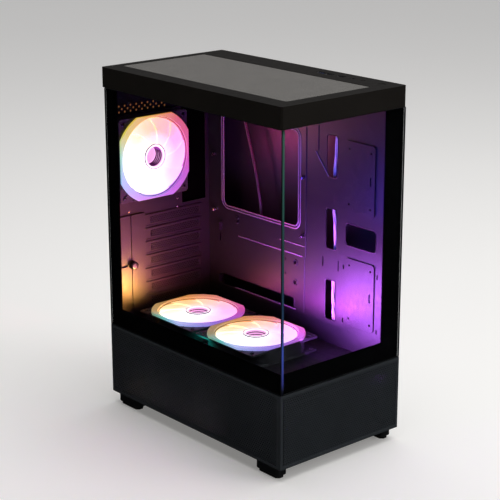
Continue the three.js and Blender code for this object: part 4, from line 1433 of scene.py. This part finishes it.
        # Hub shell, then the bright rim of its window, then the tunnel with its rings.
        lathe(bm, ((0, low), (self.hub, low), (self.hub, top - 1.4), (17.5, top - 1.4), (17.5, low + 0.6),
                   (0, low + 0.6)), 56, 0, closed=False)
        seam = self.hub + 0.15
        lathe(bm, ((seam, top - 1.3), (seam, top - 0.3), (17.4, top - 0.3), (17.4, top - 1.3)), 56, 3)
        lathe(bm, ((0, low + 0.8), (17.2, low + 0.8), (17.2, top - 1.6), (window - 0.6, top - 1.6),
                   (window - 0.6, low + 1), (0, low + 1)), 56, 2, closed=False)
        lathe(bm, ((window - 0.5, top - 1.5), (17.1, top - 1.5), (17.1, top - 0.3), (16.7, top), (window, top),
                   (window - 0.5, top - 0.4)), 56, 1)
        for step in range(1, 5):
            z = top - 1 - 3.7 * step
            lathe(bm, ((window - 2.4, z), (window - 0.7, z - 0.7), (window - 0.7, z + 0.7)), 48, 3)
        finishes = (name + "_lit_blades", "hub_rim", "hub_tunnel", "hub_rings")
        piece(name + "_blades_and_hub", bm, finishes, name + "_rotor", (name + "_rotor",),
              fan["place"])

    def lamps(self, name, fan):
        """Four small square lights over each fan's face, in the colours of its quarters."""
        tilt = -FAN_TILT[name]
        for quarter, (angle, code, power) in enumerate(QUARTER_LIGHTS[name]):
            spot = Matrix.Rotation(math.radians(angle + tilt), 4, "Z") @ Vector((32, 0, fan["thick"] + 1))
            way = fan["place"].to_3x3() @ Vector((0, 0, 1))
            self.lamp(f"{name}_light_{quarter}", fan["place"] @ spot, way, 50, code, power)

    def lamp(self, name, place, way, size, code, power):
        """A small square light that isn't seen itself."""
        light = bpy.data.lights.new(name, "AREA")
        light.size, light.energy, light.color = size * MM, lights().fan_power * power, linear(code)[:3]
        obj = into_scene(name, light)
        obj.location = place * MM
        obj.rotation_euler = way.to_track_quat("-Z", "Y").to_euler()
        obj.visible_camera = obj.visible_transmission = False
        return obj


# Angle round the fan, colour and share of the power of each of its lights.
QUARTER_LIGHTS = {
    "rear_fan": ((0, "#ff3c9a", 0.3), (90, "#ff9a30", 0.15), (180, "#a0e8ff", 0.05), (270, "#7a4cff", 0.1)),
    "deck_fan_rear": ((0, "#ff48a8", 0.2), (90, "#ff3870", 0.1), (160, "#ffb83c", 0.2), (270, "#3050ff", 0.25)),
    "deck_fan_front": ((0, "#e050ff", 0.8), (90, "#e83cff", 0.5), (180, "#c8a060", 0.1), (270, "#4a50ff", 0.5)),
}
# Light thrown sideways out of the fans' rims: place and aim in millimetres, size, spread in degrees, colour and
# share of the power.
SIDE_LIGHTS = (
    ("violet", (5, -100, 150), (77, -100, 185), 120, 130, "#c064ff", 2.6),
    ("magenta", (91, -14, 432), (102, 60, 360), 16, 180, "#ff2c80", 0.4),
    ("blue", (-20, -140, 330), (77, -130, 380), 90, 180, "#5040ff", 0.45),
    ("amber", (-55, 110, 150), (-82, 179, 185), 40, 95, "#ffae50", 0.6),
    ("rust", (-30, 60, 200), (-30, 179, 250), 120, 120, "#ff8a58", 0.3),
    ("cyan", (-84, 10, 135), (-50, 10, 118), 20, 150, "#30e8d0", 0.02),
)


class TOWER_OT_tray(TowerOperator, bpy.types.Operator):
    """Pressed lines, rolled rims, raised drive plates and standoffs of the motherboard tray"""

    bl_idname = "tower.tray"
    bl_label = "Tray"

    # Ribs as (y from, z from, y to, z to, radius) on the tray's inner face.
    ribs = (
        (112, 231.5, -24, 231.5, 1.0),
        (22, 246.5, -28, 246.5, 0.8),
        (119, 150.5, -10.5, 150.2, 1.1),
        (-30, 417, -30, 232, 1.0),
        (-54, 424, -54, 389, 0.9),
        (-49.3, 387, -74.5, 356.8, 1.1),
        (151, 405, 151, 278, 0.9),
        (-28, 231, -28, 150, 0.9),
    )

    def execute(self, context):
        x = TRAY_LOW.x
        bars = [[(x, y0, z0), (x, y1, z1)] for y0, z0, y1, z1, _ in self.ribs]
        for i, (bar, rib) in enumerate(zip(bars, self.ribs)):
            mesh = tube_mesh(f"tray_rib_{i}", [bar], rib[4], sides=3)
            # Ribs 0, 1, 2 and 5 take the lighter coat: a painted highlight along them.
            finish = "bead_painted_highlight" if i in (0, 1, 2, 5) else "powder_coated_steel"
            piece(f"tray_rib_{i}", mesh, (finish,), "chassis", sharp=60)
        self.rims(x)
        self.hooks(x)
        for plate in ("upper", "lower"):
            softened("drive_plate_" + plate, "powder_coated_steel", "chassis", 0.9, 3)
        return {"FINISHED"}

    def rims(self, x):
        """Rolled edges round the openings."""
        for name, box, radius, grow in (
            ("cooler", (-14, 144.5, 273, 409), 9, (0.6, 4.5)),
            ("slot_upper", (-91, -70.5, 356.5, 414), 3, (0.4,)),
            ("slot_middle", (-91, -70.5, 255.5, 312), 3, (0.4,)),
            ("slot_lower", (-91, -70.5, 153, 210.5), 3, (0.4,)),
            ("drive", (-166, -109, 268, 298.5), 4, (0.4,)),
            ("deck", (-7, 151, 149.5, 166), 3, (0.4,)),
        ):
            for i, out in enumerate(grow):
                y0, y1, z0, z1 = box
                loop = rectangle(y0 - out, y1 + out, z0 - out, z1 + out, radius + out, 6)
                path = [(x + 0.3, a, b) for a, b in loop]
                mesh = tube_mesh(f"tray_rim_{name}_{i}", [path], 1.0 if name == "cooler" else 0.7, True, 3)
                # The cooler cut-out's rims take the lighter coat: a painted highlight round it.
                finish = "bead_painted_highlight" if name == "cooler" else "powder_coated_steel"
                piece(f"tray_rim_{name}_{i}", mesh, (finish,), "chassis", sharp=60)

    def hooks(self, x):
        """Raised tie loops, threaded standoffs and rivets."""
        bm = bmesh.new()
        for y, z in ((114, 258), (114, 252)):
            lathed = lathe(bm, ((0, 3.6), (1.4, 3.6), (2.6, 3.2), (2.8, 0), (0, 0)), 18, closed=False)
            turned(bm, lathed, Matrix.Translation((x, y, z)) @ Matrix.Rotation(-math.pi / 2, 4, "Y"))
        for y, z in ((150.5, 239.5), (151.3, 158.5)):
            tab = block(bm, -3.2, 3.2, -1.1, 1.1, -6, 6)
            turned(bm, tab, Matrix.Translation((x - 2.2, y, z)))
        for y, z in ((-9, 219.5), (-9, 190)):
            ring = lathe(bm, ((3.0, 0.9), (4.6, 0.9), (5.2, 0), (3.6, -1.2), (2.4, -1.2)), 24)
            turned(bm, ring, Matrix.Translation((x, y, z)) @ Matrix.Rotation(-math.pi / 2, 4, "Y"))
        piece("tray_hooks", bm, ("powder_coated_steel",), "chassis")
        post = bmesh.new()
        lathe(post, ((0, 4.2), (1.3, 4.2), (1.3, 6), (2.4, 6), (2.9, 5.5), (2.9, 0), (0, 0)), 6, closed=False)
        part = part_object("standoff", post)
        heights = (424, 346, 262)
        places = [(x, y, z, (-1, 0, 0)) for y in (165, -25) for z in heights]
        mesh = set_on("board_standoffs", part, places, "bright_steel")
        piece("board_standoffs", mesh, ("bright_steel",), "chassis", sharp=30)


class TOWER_OT_rear(TowerOperator, bpy.types.Operator):
    """Slot covers with punched vents, the retainer, screws and folded lips on the rear wall"""

    bl_idname = "tower.rear"
    bl_label = "Rear wall"

    def execute(self, context):
        self.covers()
        self.retainer()
        self.screws()
        self.rims()
        return {"FINISHED"}

    def covers(self):
        pitch = sizes().vent_pitch / MM
        for i in range(1, 8):
            node = f"slot_cover_{i}"
            low, high = span(node)
            middle = (low.z + high.z) / 2
            x0, x1 = low.x + 16, high.x - 4
            bm = bmesh.new()
            rows = 4
            tall = rows * pitch * math.sqrt(3) / 2
            prism(bm, rectangle(low.x, high.x, low.z, high.z), 0, 1,
                  [rectangle(x0 + 0.6, x1 - 0.6, middle - tall / 2 + 0.6, middle + tall / 2 - 0.6)])
            # A pressed ridge along each long edge.
            for z in (low.z + 1.0, high.z - 1.0):
                block(bm, low.x + 8, high.x - 2, z - 0.6, z + 0.6, 1.0, 1.7)
            place = Matrix.Translation((0, high.y, 0)) @ Matrix.Rotation(math.pi / 2, 4, "X")
            piece(node + "_plate", bm, ("powder_coated_steel",), "chassis", (node,), place, 0.25)
            mesh = punched(node + "_vents", x1 - x0 + pitch, tall, pitch, ((x0 + x1) / 2, low.y + 0.2, middle),
                           (math.pi / 2, 0, 0), "powder_coated_steel", 0.6)
            piece(node + "_vents", mesh, ("powder_coated_steel",), "chassis")

    def retainer(self):
        """Two plates side by side with a seam between them, a keyhole and a notched edge."""
        low, high = span("slot_retainer")
        seam = -69.5
        z_key = 202
        bm = bmesh.new()
        thick = high.y - low.y
        keyhole = rectangle(-90.5, -77, z_key - 1.6, z_key + 2.4, 1.6)
        prism(bm, rectangle(low.x, seam - 0.6, low.z, high.z, 0.8, 2), 0, thick, [keyhole])
        teeth = [(seam + 0.6, low.z), (high.x - 1.4, low.z)]
        pitch = (high.z - low.z) / 14
        for i in range(14):
            z = low.z + i * pitch
            teeth += [(high.x - 1.4, z + pitch * 0.45), (high.x, z + pitch * 0.5), (high.x, z + pitch * 0.95)]
            teeth.append((high.x - 1.4, z + pitch))
        teeth += [(seam + 0.6, high.z)]
        prism(bm, teeth, 0, thick)
        place = Matrix.Translation((0, high.y, 0)) @ Matrix.Rotation(math.pi / 2, 4, "X")
        piece("slot_retainer_plates", bm, ("powder_coated_steel",), "chassis", ("slot_retainer",),
              place, 0.3)

    def screws(self):
        inside = WALL_HIGH.y - 1.0
        ahead, behind = (0, -1, 0), (0, 1, 0)
        places = [
            (-89.8, inside, 414, ahead),
            (-89.8, inside, 306, ahead),
            (17.4, inside, 285.7, ahead),
            (17.4, inside, 273.7, ahead),
            (-70, inside, 281, ahead),
            (-72, inside, 124, ahead),
        ]
        mesh = set_on("wall_rivets", screw_head(1.7, 0.8), places, "bright_steel")
        piece("wall_rivets", mesh, ("bright_steel",), "chassis")
        fan = FANS["rear_fan"]["place"].translation
        inset = TOWER_OT_fans.screw_inset
        outside = [(fan.x + dx, WALL_HIGH.y, fan.z + dz, behind) for dx in (-inset, inset) for dz in (-inset, inset)]
        outside += [(x, WALL_HIGH.y, z, behind) for x in (-98, 95) for z in (120, 240, 455)]
        mesh = set_on("wall_screws", screw_head(3.2, 1.9), outside, "black_zinc")
        piece("wall_screws", mesh, ("black_zinc",), "chassis")

    def rims(self):
        """Turned-out lips round the socket plate opening and the supply opening."""
        y = WALL_HIGH.y - 0.2
        for name, (x0, x1, z0, z1) in (("socket_plate", (26.15, 70.6, 277, 435.75)), ("supply", (-78, 72, 21, 107))):
            loop = rectangle(x0 - 1.2, x1 + 1.2, z0 - 1.2, z1 + 1.2, 2, 4)
            mesh = tube_mesh(name + "_lip", [[(a, y, b) for a, b in loop]], 0.8, True, 3)
            piece(name + "_lip", mesh, ("powder_coated_steel",), "chassis", sharp=60)


class TOWER_OT_cables(TowerOperator, bpy.types.Operator):
    """The two cable runs behind the tray"""

    bl_idname = "tower.cables"
    bl_label = "Cables"

    def execute(self, context):
        x = TRAY_HIGH.x + 6
        top = span("socket_cable")[1].z
        route = smooth_path(((88, -80, top), (88, -80, 454), (x + 1, -81, 400), (x, -78, 330), (x, -82, 270),
                             (x, -79, 200), (x, -81, 150)))
        strands = []
        for phase in (0, 2.1, 4.2):
            strand = []
            for i, point in enumerate(route):
                turn = phase + i * 0.55
                strand.append(point + Vector((math.cos(turn) * 1.25, math.sin(turn) * 1.25, 0)))
            strands.append(strand)
        mesh = tube_mesh("socket_cable_strands", strands, 1.1, sides=3)
        piece("socket_cable_strands", mesh, ("pale_strand",), "chassis", ("socket_cable",), sharp=60)
        route = smooth_path(((x, 118, 452), (x, 104, 400), (x, 84, 340), (x, 72, 290), (x, 62, 230), (x, 30, 190),
                             (x, -30, 172), (x, -60, 160)))
        mesh = tube_mesh("fan_cable_sleeve", [route], 2.0, sides=4)
        piece("fan_cable_sleeve", mesh, ("cable_braid",), "chassis", ("fan_cable",), sharp=60)
        return {"FINISHED"}


class TOWER_PT_panel(bpy.types.Panel):
    """Buttons that build the tower, with its sizes, colours and lights"""

    bl_idname = "TOWER_PT_panel"
    bl_label = "Computer tower"
    bl_space_type = "VIEW_3D"
    bl_region_type = "UI"
    bl_category = "Tower"

    def draw(self, context):
        layout = self.layout
        for operator in OPERATORS:
            layout.operator(operator.bl_idname)
        for group in (sizes(), colours(), lights()):
            box = layout.box()
            for name in group.bl_rna.properties.keys():
                if name not in ("rna_type", "name"):
                    box.prop(group, name)


OPERATORS = (
    TOWER_OT_stage, TOWER_OT_steel, TOWER_OT_shell, TOWER_OT_glass, TOWER_OT_lower_panels, TOWER_OT_top,
    TOWER_OT_fans, TOWER_OT_tray, TOWER_OT_rear, TOWER_OT_cables,
)
GROUPS = {"tower_sizes": TowerSizes, "tower_colours": TowerColours, "tower_lights": TowerLights}


def register():
    for cls in (*GROUPS.values(), *OPERATORS, TOWER_PT_panel):
        bpy.utils.register_class(cls)
    for name, cls in GROUPS.items():
        setattr(bpy.types.Scene, name, bpy.props.PointerProperty(type=cls))


def unregister():
    for name in GROUPS:
        delattr(bpy.types.Scene, name)
    for cls in (TOWER_PT_panel, *reversed(OPERATORS), *GROUPS.values()):
        bpy.utils.unregister_class(cls)


def main():
    register()
    for operator in OPERATORS:
        group, name = operator.bl_idname.split(".")
        getattr(getattr(bpy.ops, group), name)()
    bpy.context.view_layer.update()


if __name__ == "__main__":
    main()
